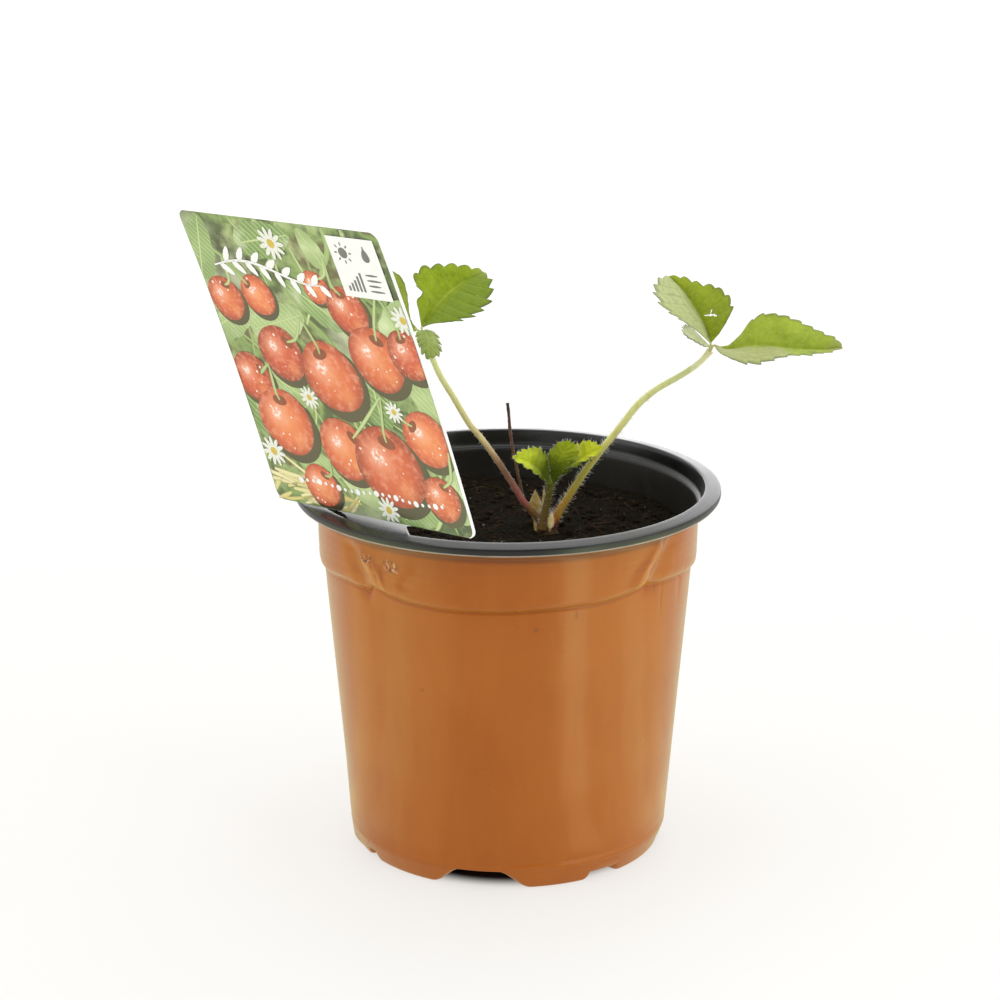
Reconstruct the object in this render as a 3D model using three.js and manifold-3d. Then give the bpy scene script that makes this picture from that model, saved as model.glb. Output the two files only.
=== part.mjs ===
// Potted strawberry plant: a young plant with three leaves in a thin-walled
// nursery pot filled with peat, with a plastic plant label on a stake.
// Millimetres, +Z up. The pot's axis is X = Y = 0 while the pieces are made;
// at the end the whole plant is shifted so that the origin lies under the
// middle of its bounding box, on the surface that the pot stands on.

import * as THREE from 'three';
import { mergeVertices } from 'three/addons/utils/BufferGeometryUtils.js';
import Module from 'manifold-3d';

const wasm = await Module();
wasm.setup();

// ---------------------------------------------------------------- dimensions

const POT_HEIGHT = 113.8; // floor to the top of the rim
const RIM_OUTER_R = 65.0; // a 13 cm pot
const RIM_INNER_R = 60.0;
const RIM_DEPTH = 4.0; // height of the rolled rim
const COLLAR_TOP_R = 58.4; // straight band under the rim
const COLLAR_BOTTOM_R = 57.9;
const COLLAR_BOTTOM_Z = 93.0;
const STEP_BOTTOM_Z = 89.5; // the stacking step under the collar
const BODY_TOP_R = 56.2;
const BODY_BOTTOM_R = 49.3;
const BODY_BOTTOM_Z = 8.0;
const CREASE_R = 49.0; // where the body turns in to the feet
const FOOT_HEIGHT = 6.0;
const FOOT_R = 47.0; // outer radius of the feet on the surface
const FOOT_INNER_R = 40.5;
const WALL = 0.8;
const FLOOR_TOP_Z = 7.6;
const POT_SEGMENTS = 60;

// Feet by the angle from the front (-Y) towards +X, in degrees, at the surface.
const FEET = [[-58, -27], [6, 31], [44, 75], [87, 110], [122, 153], [186, 211], [224, 255], [267, 297]];
const WIDE_GAP_SLOPE = 8; // each side of a wide gap leans in by this many degrees
const NARROW_GAP_SLOPE = 2.2;
const NARROW_GAP_HEIGHT = 2.8; // a narrow gap is only a low notch in the foot ring
const DRAIN_HOLE_R = 4.2;
const DRAIN_RING_R = 33.0;
const DRAIN_HOLES = 6;

const GAP = 0.35; // clearance kept between neighbouring pieces

const SOIL_EDGE_Z = 97.6;
const SOIL_MIDDLE_Z = 98.4;
const SOIL_SEGMENTS = 40;

const CROWN_X = 11.5;
const CROWN_Y = 2.2;

const LABEL_WIDTH = 85.2;
const LABEL_HEIGHT = 97.7;
const LABEL_THICKNESS = 0.5;
const LABEL_CORNER_R = 3.0;
const LABEL_ORIGIN = [-68.99, -13.0, 112.89]; // lower corner of the card
const LABEL_U = [0.70422, -0.70655, 0.06968]; // along the lower edge
const LABEL_V = [-0.23736, -0.1418, 0.96102]; // up the card
const LABEL_N = [-0.66913, -0.69331, -0.26757]; // out of the printed face
const LABEL_BOW = 0.001065; // curvature of the card along its height, 1/mm
const STAKE_LEFT = 29.6; // the stake's sides, measured along the lower edge
const STAKE_RIGHT = 55.0;
const STAKE_LENGTH = 62.0;
const STAKE_POINT = 22.0; // length of the tapered tip
const STAKE_BEND = 0.15; // the stake leans in by this much per mm

const BLADE_THICKNESS = 0.45;

// Petioles and the dead stalk: centre lines from the crown outwards.
const STEMS = {
  petiole_left: {
    path: [[9.7, 0.5, 101.7], [7.7, 0.3, 104.0], [5.5, 0.0, 106.6], [1.2, -0.5, 113.8], [-3.4, -1.0, 121.3], [-8.5, -1.5, 128.7], [-11.6, -1.6, 132.5], [-17.6, -2.0, 142.0], [-21.2, -2.2, 148.3], [-24.1, -2.4, 156.1], [-25.7, -2.4, 161.2]],
    r0: 1.0, r1: 0.65, steps: 14,
  },
  petiole_right: {
    path: [[14.6, 2.0, 102.0], [16.3, 2.2, 105.0], [18.9, 2.5, 109.1], [23.0, 3.0, 115.6], [26.6, 3.3, 120.6], [29.9, 3.5, 125.0], [33.5, 3.6, 130.1], [38.6, 3.6, 137.4], [42.5, 3.6, 141.4], [46.1, 3.6, 144.1], [50.7, 3.6, 146.8], [54.9, 3.4, 149.3], [58.4, 3.2, 151.9], [60.8, 3.0, 154.0]],
    r0: 1.15, r1: 0.8, steps: 14,
  },
  petiole_young: {
    path: [[12.6, -1.4, 102.4], [12.5, -1.3, 105.4], [12.6, -1.2, 108.6], [12.8, -1.1, 111.7], [13.1, -1.0, 113.9]],
    r0: 1.0, r1: 0.85, steps: 5,
  },
  old_stalk: {
    path: [[9.4, 5.2, 101.6], [7.6, 5.7, 102.6], [5.6, 6.0, 104.1], [4.6, 6.5, 107.2], [3.7, 7.0, 111.6], [2.5, 7.3, 117.2], [1.5, 7.5, 122.3], [0.9, 7.6, 126.1], [0.5, 7.7, 129.6], [0.2, 7.8, 133.4], [-0.2, 7.9, 136.8]],
    r0: 0.55, r1: 0.45, steps: 9,
  },
};

// Each leaflet: its midrib and the two margins, all from the base to the tip.
const LEAFLETS = {
  leaflet_left_1: {
    midrib: [[-26.0, -2.2, 162.9], [-23.8, -0.5, 166.2], [-19.7, 1.5, 171.0], [-14.5, 3.0, 175.2], [-7.3, 4.2, 178.7]],
    sideA: [[-26.0, -2.2, 162.9], [-26.8, -1.8, 167.4], [-27.4, -0.6, 171.2], [-25.7, 0.2, 173.0], [-27.4, 1.2, 175.0], [-28.1, 2.6, 177.5], [-26.2, 4.0, 179.8], [-22.3, 5.0, 180.3], [-18.4, 5.0, 180.6], [-14.8, 5.0, 180.5], [-10.9, 4.6, 179.9], [-7.3, 4.2, 178.7]],
    sideB: [[-26.0, -2.2, 162.9], [-23.2, -3.5, 164.3], [-18.3, -5.0, 165.5], [-13.8, -6.0, 166.5], [-10.2, -6.0, 167.8], [-7.4, -5.0, 169.7], [-5.6, -3.2, 171.9], [-5.2, -1.0, 174.6], [-5.6, 1.8, 176.9], [-7.3, 4.2, 178.7]],
    teeth: 7, depth: 1.5,
  },
  leaflet_left_2: {
    midrib: [[-26.0, -3.4, 162.3], [-24.9, -8.0, 163.3], [-23.9, -13.0, 162.2], [-23.4, -16.0, 159.9], [-23.1, -17.0, 157.6]],
    sideA: [[-26.0, -3.4, 162.3], [-27.2, -6.0, 162.6], [-27.4, -10.0, 162.1], [-26.7, -13.5, 160.5], [-25.6, -16.0, 159.0], [-24.4, -17.0, 157.7], [-23.1, -17.0, 157.6]],
    sideB: [[-26.0, -3.4, 162.3], [-23.4, -4.5, 162.9], [-21.4, -7.0, 162.2], [-20.4, -9.5, 160.4], [-20.2, -12.5, 158.7], [-21.3, -15.5, 157.5], [-23.1, -17.0, 157.6]],
    teeth: 5, depth: 1.2,
  },
  leaflet_left_3: {
    midrib: [[-27.1, -1.2, 161.9], [-29.9, 1.5, 163.8], [-33.0, 4.5, 167.5], [-36.3, 7.5, 172.0], [-39.4, 9.5, 177.4]],
    sideA: [[-27.1, -1.2, 161.9], [-30.2, 0.0, 160.8], [-34.4, 0.5, 161.9], [-38.6, 1.0, 165.5], [-41.3, 3.0, 170.0], [-42.0, 6.0, 174.2], [-39.4, 9.5, 177.4]],
    sideB: [[-27.1, -1.2, 161.9], [-28.8, 0.5, 163.5], [-29.6, 1.5, 166.0], [-30.2, 2.5, 169.5], [-30.8, 4.0, 172.8], [-31.9, 6.0, 176.1], [-34.5, 8.0, 177.9], [-36.9, 9.0, 178.0], [-39.4, 9.5, 177.4]],
    teeth: 6, depth: 1.3,
  },
  leaflet_right_1: {
    midrib: [[61.3, 3.4, 156.7], [59.6, 5.5, 161.3], [56.4, 8.5, 166.8], [52.9, 11.0, 171.7], [48.7, 13.0, 175.4]],
    sideA: [[61.3, 3.4, 156.7], [57.9, 1.5, 160.1], [54.0, -0.5, 163.6], [49.5, -1.5, 166.9], [46.0, -0.5, 169.7], [44.6, 2.0, 171.8], [44.5, 6.0, 173.9], [46.0, 10.0, 175.3], [48.7, 13.0, 175.4]],
    sideB: [[61.3, 3.4, 156.7], [64.0, 2.5, 160.5], [66.5, 2.5, 165.0], [67.4, 3.5, 168.3], [66.7, 5.0, 170.4], [64.5, 7.0, 172.4], [61.8, 8.5, 173.5], [58.8, 10.0, 173.4], [55.2, 11.5, 174.5], [51.9, 12.5, 175.3], [48.7, 13.0, 175.4]],
    teeth: 7, depth: 1.5,
  },
  leaflet_right_2: {
    midrib: [[62.1, 1.6, 156.6], [66.5, 0.9, 155.5], [71.7, 0.0, 156.5], [78.3, -1.2, 156.8], [86.3, -2.6, 156.3], [93.8, -3.4, 156.2], [100.6, -3.6, 156.9]],
    sideA: [[62.1, 1.6, 156.6], [64.4, 2.6, 156.0], [67.3, 3.4, 156.2], [70.0, 4.2, 159.0], [73.2, 4.9, 163.0], [76.5, 5.5, 165.1], [80.7, 5.5, 165.3], [84.9, 5.0, 164.4], [88.8, 4.0, 163.1], [92.3, 2.5, 161.7], [95.5, 0.5, 159.9], [98.1, -1.5, 158.7], [100.6, -3.6, 156.9]],
    sideB: [[62.1, 1.6, 156.6], [63.2, -2.4, 155.8], [65.0, -6.0, 155.2], [67.5, -9.2, 154.8], [70.6, -12.0, 154.7], [74.1, -13.6, 154.9], [77.8, -14.8, 156.0], [81.6, -15.0, 157.2], [86.2, -13.5, 157.3], [90.9, -11.0, 156.9], [95.8, -7.5, 156.7], [100.6, -3.6, 156.9]],
    teeth: 9, depth: 1.3,
  },
  leaflet_right_3: {
    midrib: [[60.5, 0.2, 156.9], [58.6, -1.8, 158.5], [56.4, -4.0, 160.4], [54.1, -6.4, 162.2], [52.1, -8.0, 163.5]],
    sideA: [[60.5, 0.2, 156.9], [58.5, 3.4, 158.5], [56.4, 3.8, 160.6], [54.3, 2.2, 162.2], [52.6, -3.0, 163.4], [52.1, -8.0, 163.5]],
    sideB: [[60.5, 0.2, 156.9], [59.3, -6.0, 158.0], [57.2, -10.0, 159.8], [54.8, -13.0, 161.8], [52.9, -12.6, 163.0], [52.1, -8.0, 163.5]],
    teeth: 5, depth: 1.2,
  },
  leaflet_young_1: {
    midrib: [[12.5, -1.6, 115.7], [9.4, -0.4, 118.4], [6.4, -1.2, 120.5], [3.6, -2.8, 122.1], [1.3, -4.5, 123.0]],
    sideA: [[12.5, -1.6, 115.7], [12.0, 0.9, 118.5], [11.4, 1.7, 121.7], [9.7, 1.6, 123.9], [7.4, 0.6, 124.6], [5.1, -0.8, 124.6], [3.0, -2.6, 124.2], [1.3, -4.5, 123.0]],
    sideB: [[12.5, -1.6, 115.7], [11.1, -3.8, 116.9], [8.9, -6.0, 118.8], [6.5, -7.4, 120.5], [3.9, -7.4, 121.7], [2.1, -6.2, 122.5], [1.3, -4.5, 123.0]],
    teeth: 6, depth: 0.9,
  },
  leaflet_young_2: {
    midrib: [[13.7, 1.2, 115.0], [17.4, 2.0, 117.7], [21.4, 1.8, 120.3], [25.3, 1.2, 122.7], [28.8, 0.6, 124.7]],
    sideA: [[13.7, 1.2, 115.0], [15.8, 4.0, 117.9], [18.8, 5.0, 121.9], [21.8, 4.4, 124.8], [24.7, 3.0, 125.9], [27.1, 1.8, 125.7], [28.8, 0.6, 124.7]],
    sideB: [[13.7, 1.2, 115.0], [16.5, 0.2, 116.3], [19.8, -0.6, 118.4], [23.4, -1.0, 120.4], [26.5, -0.8, 122.1], [28.1, -0.2, 123.5], [28.8, 0.6, 124.7]],
    teeth: 7, depth: 0.9,
  },
  leaflet_young_3: {
    midrib: [[13.1, -0.6, 115.4], [14.6, 0.2, 119.0], [16.4, 0.2, 122.8], [17.6, 0.4, 125.3], [18.4, 0.6, 126.9]],
    sideA: [[13.1, -0.6, 115.4], [12.5, 2.0, 118.3], [12.6, 3.0, 121.0], [13.6, 3.2, 123.5], [15.8, 2.2, 125.7], [18.4, 0.6, 126.9]],
    sideB: [[13.1, -0.6, 115.4], [15.8, -2.2, 117.7], [18.7, -3.2, 120.1], [20.8, -3.4, 122.4], [21.4, -2.6, 124.4], [20.5, -1.0, 126.0], [18.4, 0.6, 126.9]],
    teeth: 6, depth: 0.9,
  },
};

// Papery stipules round the petiole bases: small pointed scales.
const STIPULES = {
  stipule_1: {
    midrib: [[9.3, 2.4, 102.5], [8.5, 2.3, 106.2], [8.3, 2.0, 111.0]],
    sideA: [[9.3, 2.4, 102.5], [7.1, 2.8, 103.7], [6.6, 2.4, 106.4], [8.3, 2.0, 111.0]],
    sideB: [[9.3, 2.4, 102.5], [10.6, 1.9, 104.0], [10.3, 1.8, 106.7], [8.3, 2.0, 111.0]],
    teeth: 0, depth: 0,
  },
  stipule_2: {
    midrib: [[12.7, -4.3, 100.2], [13.2, -3.9, 103.6], [13.6, -3.3, 107.4]],
    sideA: [[12.7, -4.3, 100.2], [11.8, -3.9, 101.4], [12.2, -3.4, 104.0], [13.6, -3.3, 107.4]],
    sideB: [[12.7, -4.3, 100.2], [13.9, -3.9, 101.2], [14.3, -3.4, 104.2], [13.6, -3.3, 107.4]],
    teeth: 0, depth: 0,
  },
  stipule_3: {
    midrib: [[11.4, 1.4, 102.2], [11.2, 1.2, 106.0], [11.0, 0.9, 112.4]],
    sideA: [[11.4, 1.4, 102.2], [10.7, 1.1, 103.6], [10.4, 0.8, 107.0], [11.0, 0.9, 112.4]],
    sideB: [[11.4, 1.4, 102.2], [12.3, 1.6, 103.6], [12.0, 1.4, 107.0], [11.0, 0.9, 112.4]],
    teeth: 0, depth: 0,
  },
};

// Main roots, from the crown into the peat.
const ROOTS = [
  [[11.5, 2.2, 86], [24, 0, 76], [36, -4, 58], [39, -6, 38]],
  [[11.5, 2.2, 84], [18, 16, 74], [24, 30, 56], [22, 36, 36]],
  [[11.5, 2.2, 85], [-2, 12, 76], [-16, 24, 58], [-20, 27, 36]],
  [[11.5, 2.2, 83], [-4, -2, 72], [-22, -2, 54], [-30, -2, 34]],
  [[11.5, 2.2, 82], [15, -10, 70], [18, -26, 52], [16, -32, 32]],
  [[11.5, 2.2, 80], [10, 3, 62], [6, 6, 42], [8, 4, 22]],
];

// -------------------------------------------------------------------- helpers

// One closed shell with shared corners and no faces without area.
function weld(geometry) {
  let g = geometry.index ? geometry : geometry.clone();
  g.deleteAttribute('normal');
  g.deleteAttribute('uv');
  g = mergeVertices(g, 1e-4);
  const index = g.index.array;
  const kept = [];
  for (let i = 0; i < index.length; i += 3) {
    const [a, b, c] = [index[i], index[i + 1], index[i + 2]];
    if (a !== b && b !== c && a !== c) kept.push(a, b, c);
  }
  g.setIndex(kept);
  return g;
}

function toSolid(geometry) {
  const g = weld(geometry);
  return new wasm.Manifold(new wasm.Mesh({
    numProp: 3,
    vertProperties: new Float32Array(g.attributes.position.array),
    triVerts: new Uint32Array(g.index.array),
  }));
}

function fromSolid(solid) {
  const m = solid.getMesh();
  const g = new THREE.BufferGeometry();
  g.setAttribute('position', new THREE.BufferAttribute(new Float32Array(m.vertProperties), 3));
  g.setIndex(Array.from(m.triVerts));
  g.computeVertexNormals();
  return g;
}

// Turns a profile of [r, z] points about Z. It is closed, or it starts and ends
// on the axis. The profile runs so that the solid lies on its left.
function turned(profile, segments) {
  const g = new THREE.LatheGeometry(profile.map(([r, z]) => new THREE.Vector2(r, z)), segments);
  g.rotateX(Math.PI / 2);
  return g;
}

function curveOf(points) {
  return new THREE.CatmullRomCurve3(points.map((p) => new THREE.Vector3(...p)), false, 'centripetal');
}

// A round rod whose radius follows radius(t), bent along a curve.
function bentRod(path, radius, steps, sides, grow = 0) {
  const curve = curveOf(path);
  const profile = [[0, 0]];
  for (let i = 0; i <= steps; i++) profile.push([radius(i / steps) + grow, i]);
  profile.push([0, steps]);
  const g = turned(profile, sides);
  const frames = curve.computeFrenetFrames(steps, false);
  const pos = g.attributes.position;
  for (let k = 0; k < pos.count; k++) {
    const i = Math.round(pos.getZ(k));
    const p = curve.getPointAt(i / steps);
    if (grow && i === 0) p.addScaledVector(frames.tangents[0], -grow);
    if (grow && i === steps) p.addScaledVector(frames.tangents[steps], grow);
    p.addScaledVector(frames.normals[i], pos.getX(k));
    p.addScaledVector(frames.binormals[i], pos.getY(k));
    pos.setXYZ(k, p.x, p.y, p.z);
  }
  return g;
}

// The outward push of a toothed margin at u, 0 to 1 through one tooth.
const tooth = (u) => (u <= 0 || u >= 1 ? 0 : Math.pow(Math.sin(Math.PI * Math.pow(u, 1.25)), 0.7));
const TEETH_START = 0.26; // the margin is smooth up to here

// A blade of even thickness between a midrib and two toothed margins.
function blade({ midrib, sideA, sideB, teeth, depth }, across = 2, thickness = BLADE_THICKNESS) {
  const mid = curveOf(midrib);
  const margins = [curveOf(sideA), curveOf(sideB)];
  const stations = [0, 0.07, 0.14, 0.2];
  if (teeth) {
    for (let n = 0; n < teeth; n++) {
      for (const u of [0, 0.58]) {
        stations.push(TEETH_START + ((1 - TEETH_START) * (n + u)) / teeth);
      }
    }
    stations.push(1);
  } else stations.push(0.35, 0.5, 0.65, 0.8, 0.9, 1);
  const rows = stations.length;
  const sheet = [];
  const id = [];
  for (let i = 0; i < rows; i++) {
    const t = stations[i];
    id.push([]);
    const m = mid.getPointAt(Math.pow(t, 1.2));
    if (i === 0 || i === rows - 1) {
      sheet.push(m);
      for (let j = -across; j <= across; j++) id[i][j + across] = sheet.length - 1;
      continue;
    }
    for (let j = -across; j <= across; j++) {
      const s = Math.abs(j) / across;
      let p = m.clone();
      if (j) {
        const edge = margins[j < 0 ? 0 : 1].getPointAt(t);
        const out = edge.clone().sub(m);
        if (teeth && t > TEETH_START) {
          const u = (((t - TEETH_START) / (1 - TEETH_START)) * teeth) % 1;
          const along = margins[j < 0 ? 0 : 1].getTangentAt(t);
          edge.addScaledVector(out.clone().normalize(), depth * (tooth(u) - 0.5));
          edge.addScaledVector(along, depth * 0.3 * tooth(u));
        }
        p = m.clone().lerp(edge, s);
      }
      id[i][j + across] = sheet.push(p) - 1;
    }
  }
  const faces = [];
  for (let i = 0; i < rows - 1; i++) {
    for (let j = 0; j < 2 * across; j++) {
      const [a, b, c, d] = [id[i][j], id[i][j + 1], id[i + 1][j + 1], id[i + 1][j]];
      if (a !== b) faces.push([a, b, c]);
      if (c !== d) faces.push([a, c, d]);
    }
  }
  const normals = sheet.map(() => new THREE.Vector3());
  for (const [a, b, c] of faces) {
    const n = sheet[b].clone().sub(sheet[a]).cross(sheet[c].clone().sub(sheet[a])).normalize();
    for (const k of [a, b, c]) normals[k].add(n);
  }
  const count = sheet.length;
  const position = new Float32Array(count * 6);
  sheet.forEach((p, k) => {
    const n = normals[k].normalize();
    p.clone().addScaledVector(n, thickness / 2).toArray(position, k * 3);
    p.clone().addScaledVector(n, -thickness / 2).toArray(position, (count + k) * 3);
  });
  const index = [];
  const rim = new Map();
  for (const [a, b, c] of faces) {
    index.push(a, b, c, count + a, count + c, count + b);
    for (const [p, q] of [[a, b], [b, c], [c, a]]) {
      if (rim.has(`${q},${p}`)) rim.delete(`${q},${p}`);
      else rim.set(`${p},${q}`, [p, q]);
    }
  }
  for (const [p, q] of rim.values()) index.push(p, count + p, q, q, count + p, count + q);
  const g = new THREE.BufferGeometry();
  g.setAttribute('position', new THREE.BufferAttribute(position, 3));
  g.setIndex(index);
  return g;
}

// ------------------------------------------------------------------------ pot

// Inner surface of the pot, from the top down, as [r, z].
const INNER_WALL = [
  [RIM_INNER_R, POT_HEIGHT - 0.2],
  [RIM_INNER_R - 1.4, POT_HEIGHT - 4.9],
  [COLLAR_TOP_R - WALL, POT_HEIGHT - 5.4],
  [COLLAR_BOTTOM_R - WALL, COLLAR_BOTTOM_Z + 0.2],
  [BODY_TOP_R - WALL, STEP_BOTTOM_Z + 0.2],
  [BODY_BOTTOM_R - WALL, BODY_BOTTOM_Z + 0.8],
  [BODY_BOTTOM_R - WALL - 0.9, FLOOR_TOP_Z],
];

function makePot() {
  const underside = FOOT_HEIGHT + 0.6;
  const shell = toSolid(turned([
    [0, underside],
    [FOOT_INNER_R, underside],
    [FOOT_INNER_R, 0],
    [FOOT_R, 0],
    [CREASE_R, FOOT_HEIGHT],
    [BODY_BOTTOM_R, BODY_BOTTOM_Z],
    [BODY_TOP_R, STEP_BOTTOM_Z],
    [COLLAR_BOTTOM_R, COLLAR_BOTTOM_Z],
    [COLLAR_TOP_R, POT_HEIGHT - RIM_DEPTH],
    [RIM_OUTER_R - 1.8, POT_HEIGHT - RIM_DEPTH],
    [RIM_OUTER_R - 0.5, POT_HEIGHT - RIM_DEPTH + 0.9],
    [RIM_OUTER_R, POT_HEIGHT - 2.9],
    [RIM_OUTER_R, POT_HEIGHT - 0.8],
    [RIM_OUTER_R - 0.3, POT_HEIGHT - 0.5],
    [RIM_INNER_R + 0.4, POT_HEIGHT],
    ...INNER_WALL,
    [0, FLOOR_TOP_Z],
  ], POT_SEGMENTS));

  // The gaps between the feet: prisms with sides that lean in, set radially.
  const cuts = [];
  for (let i = 0; i < FEET.length; i++) {
    const from = FEET[i][1];
    let to = FEET[(i + 1) % FEET.length][0];
    if (to < from) to += 360;
    const width = to - from;
    const wide = width > 20;
    const lean = wide ? WIDE_GAP_SLOPE : Math.min(NARROW_GAP_SLOPE, width / 4);
    const top = wide ? FOOT_HEIGHT : NARROW_GAP_HEIGHT;
    const middle = (from + to) / 2;
    const r = (FOOT_R + FOOT_INNER_R) / 2;
    const chord = (deg) => 2 * r * Math.sin(THREE.MathUtils.degToRad(deg) / 2);
    const shape = new THREE.Shape();
    shape.moveTo(-chord(width) / 2 - 0.5, -1);
    shape.lineTo(chord(width) / 2 + 0.5, -1);
    shape.lineTo(chord(width - 2 * lean) / 2, top);
    shape.lineTo(-chord(width - 2 * lean) / 2, top);
    shape.closePath();
    const g = new THREE.ExtrudeGeometry(shape, { depth: 16, bevelEnabled: false });
    // shape x -> sideways, shape y -> up, extrusion -> outwards (-Y), then turned about Z
    g.rotateX(Math.PI / 2);
    g.translate(0, -r + 9, 0);
    g.rotateZ(THREE.MathUtils.degToRad(middle));
    cuts.push(g);
  }
  for (let i = 0; i < DRAIN_HOLES; i++) {
    const g = new THREE.CylinderGeometry(DRAIN_HOLE_R, DRAIN_HOLE_R, 6, 12);
    g.rotateX(Math.PI / 2);
    const a = (2 * Math.PI * (i + 0.5)) / DRAIN_HOLES;
    g.translate(DRAIN_RING_R * Math.cos(a), DRAIN_RING_R * Math.sin(a), FOOT_HEIGHT + 1);
    cuts.push(g);
  }
  let pot = shell;
  for (const g of cuts) pot = pot.subtract(toSolid(g));
  return fromSolid(pot);
}

// ---------------------------------------------------------------------- label

// A point of the label sheet: s along the lower edge, t up the card, d outwards.
function labelPoint(s, t, d) {
  const [o, u, v, n] = [LABEL_ORIGIN, LABEL_U, LABEL_V, LABEL_N].map((a) => new THREE.Vector3(...a));
  const p = o.addScaledVector(u, s);
  if (t >= 0) {
    const a = LABEL_BOW * t;
    p.addScaledVector(v, Math.sin(a) / LABEL_BOW).addScaledVector(n, (1 - Math.cos(a)) / LABEL_BOW);
    p.addScaledVector(n, d * Math.cos(a)).addScaledVector(v, -d * Math.sin(a));
  } else {
    p.addScaledVector(v, t).addScaledVector(n, STAKE_BEND * t + d);
  }
  return p;
}

// The card and its stake are one sheet: rows of four corners from the point of
// the stake to the top of the card. grow widens it for the slot in the peat.
function makeLabel(grow = 0) {
  const rows = [];
  const centre = (STAKE_LEFT + STAKE_RIGHT) / 2;
  const half = (STAKE_RIGHT - STAKE_LEFT) / 2;
  rows.push([-STAKE_LENGTH - grow, centre - 1.2 - grow, centre + 1.2 + grow]);
  rows.push([-STAKE_LENGTH + STAKE_POINT, STAKE_LEFT - grow, STAKE_RIGHT + grow]);
  for (const t of [-22, -8, -2]) rows.push([t, centre - half - grow, centre + half + grow]);
  if (!grow) {
    rows.push([-0.6, STAKE_LEFT - 0.5, STAKE_RIGHT + 0.5]);
    rows.push([0, STAKE_LEFT - 2, STAKE_RIGHT + 2]);
    const corner = (k) => LABEL_CORNER_R * (1 - Math.sqrt(Math.max(0, 1 - (1 - k / LABEL_CORNER_R) ** 2)));
    for (const k of [0.15, 0.7, 1.6, LABEL_CORNER_R]) rows.push([k, corner(k), LABEL_WIDTH - corner(k)]);
    for (let t = 13; t < LABEL_HEIGHT - 8; t += 10.2) rows.push([t, 0, LABEL_WIDTH]);
    for (const k of [LABEL_CORNER_R, 1.6, 0.7, 0.15]) rows.push([LABEL_HEIGHT - k, corner(k), LABEL_WIDTH - corner(k)]);
  } else {
    rows.push([12, STAKE_LEFT - grow, STAKE_RIGHT + grow]);
  }
  const h = LABEL_THICKNESS / 2 + grow;
  const position = [];
  for (const [t, a, b] of rows) {
    for (const [s, d] of [[a, -h], [b, -h], [b, h], [a, h]]) position.push(...labelPoint(s, t, d).toArray());
  }
  const index = [];
  const quad = (a, b, c, d) => index.push(a, b, c, a, c, d);
  const last = (rows.length - 1) * 4;
  for (let i = 0; i < rows.length - 1; i++) {
    const o = i * 4;
    for (let k = 0; k < 4; k++) quad(o + ((k + 1) % 4), o + k, o + k + 4, o + ((k + 1) % 4) + 4);
  }
  quad(0, 1, 2, 3);
  quad(last + 3, last + 2, last + 1, last);
  const g = new THREE.BufferGeometry();
  g.setAttribute('position', new THREE.BufferAttribute(new Float32Array(position), 3));
  g.setIndex(index);
  return g;
}

// ---------------------------------------------------------------------- crown

// The short woody rootstock with its main roots, one grown piece.
function makeCrown(grow = 0) {
  const profile = [
    [0, 74 - grow], [2.4 + grow, 78], [4.0 + grow, 86], [5.0 + grow, 93],
    [4.1 + grow, 97.2], [3.1 + grow, 99.6], [2.0 + grow * 0.7, 100.9 + grow], [0, 101.2 + grow * 20],
  ];
  const body = turned(profile, 14);
  body.translate(CROWN_X, CROWN_Y, 0);
  let crown = toSolid(body);
  for (const path of ROOTS) {
    crown = crown.add(toSolid(bentRod(path, (t) => 1.7 - 1.2 * t, 6, 6, grow)));
  }
  return crown;
}

// ----------------------------------------------------------------------- soil

// Peat that fills the pot to a little under the rim, with the pocket that the
// crown fills and the slot that the stake stands in.
function makeSoil() {
  const profile = [[0, FLOOR_TOP_Z + 0.3]];
  const wall = [...INNER_WALL].reverse();
  for (const [r, z] of wall) {
    if (z < SOIL_EDGE_Z - 2) profile.push([r - GAP, Math.max(z, FLOOR_TOP_Z + 0.3)]);
  }
  profile.push([COLLAR_BOTTOM_R - WALL - GAP, SOIL_EDGE_Z]);
  const edge = COLLAR_BOTTOM_R - WALL - GAP;
  for (const k of [0.85, 0.66, 0.46, 0.28, 0.12]) {
    profile.push([edge * k, THREE.MathUtils.lerp(SOIL_MIDDLE_Z, SOIL_EDGE_Z, k * k)]);
  }
  profile.push([0, SOIL_MIDDLE_Z]);
  const g = turned(profile, SOIL_SEGMENTS);
  const pos = g.attributes.position;
  for (let k = 0; k < pos.count; k++) {
    const [x, y, z] = [pos.getX(k), pos.getY(k), pos.getZ(k)];
    const r = Math.hypot(x, y);
    if (z > SOIL_EDGE_Z - 1 && r < edge - 1) {
      const lump = 0.7 * Math.sin(0.21 * x + 1.3) * Math.cos(0.19 * y - 0.6) + 0.4 * Math.sin(0.43 * x - 0.37 * y);
      pos.setZ(k, z + lump * Math.min(1, (edge - r) / 8));
    }
  }
  return fromSolid(toSolid(g).subtract(makeCrown(0.35)).subtract(toSolid(makeLabel(0.35))));
}

// ------------------------------------------------------------------- assembly

const plant = new THREE.Group();

function piece(name, geometry, color, roughness, metalness = 0) {
  const g = weld(geometry);
  g.computeVertexNormals();
  const mesh = new THREE.Mesh(g, new THREE.MeshStandardMaterial({ color, roughness, metalness }));
  mesh.name = name;
  plant.add(mesh);
  return mesh;
}

piece('pot', makePot(), '#ac6a38', 0.35);
piece('potting_soil', makeSoil(), '#221a14', 0.95);
piece('crown_and_roots', fromSolid(makeCrown()), '#6d4a2a', 0.8);
piece('plant_label', makeLabel(), '#e9e4d8', 0.35);

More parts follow.
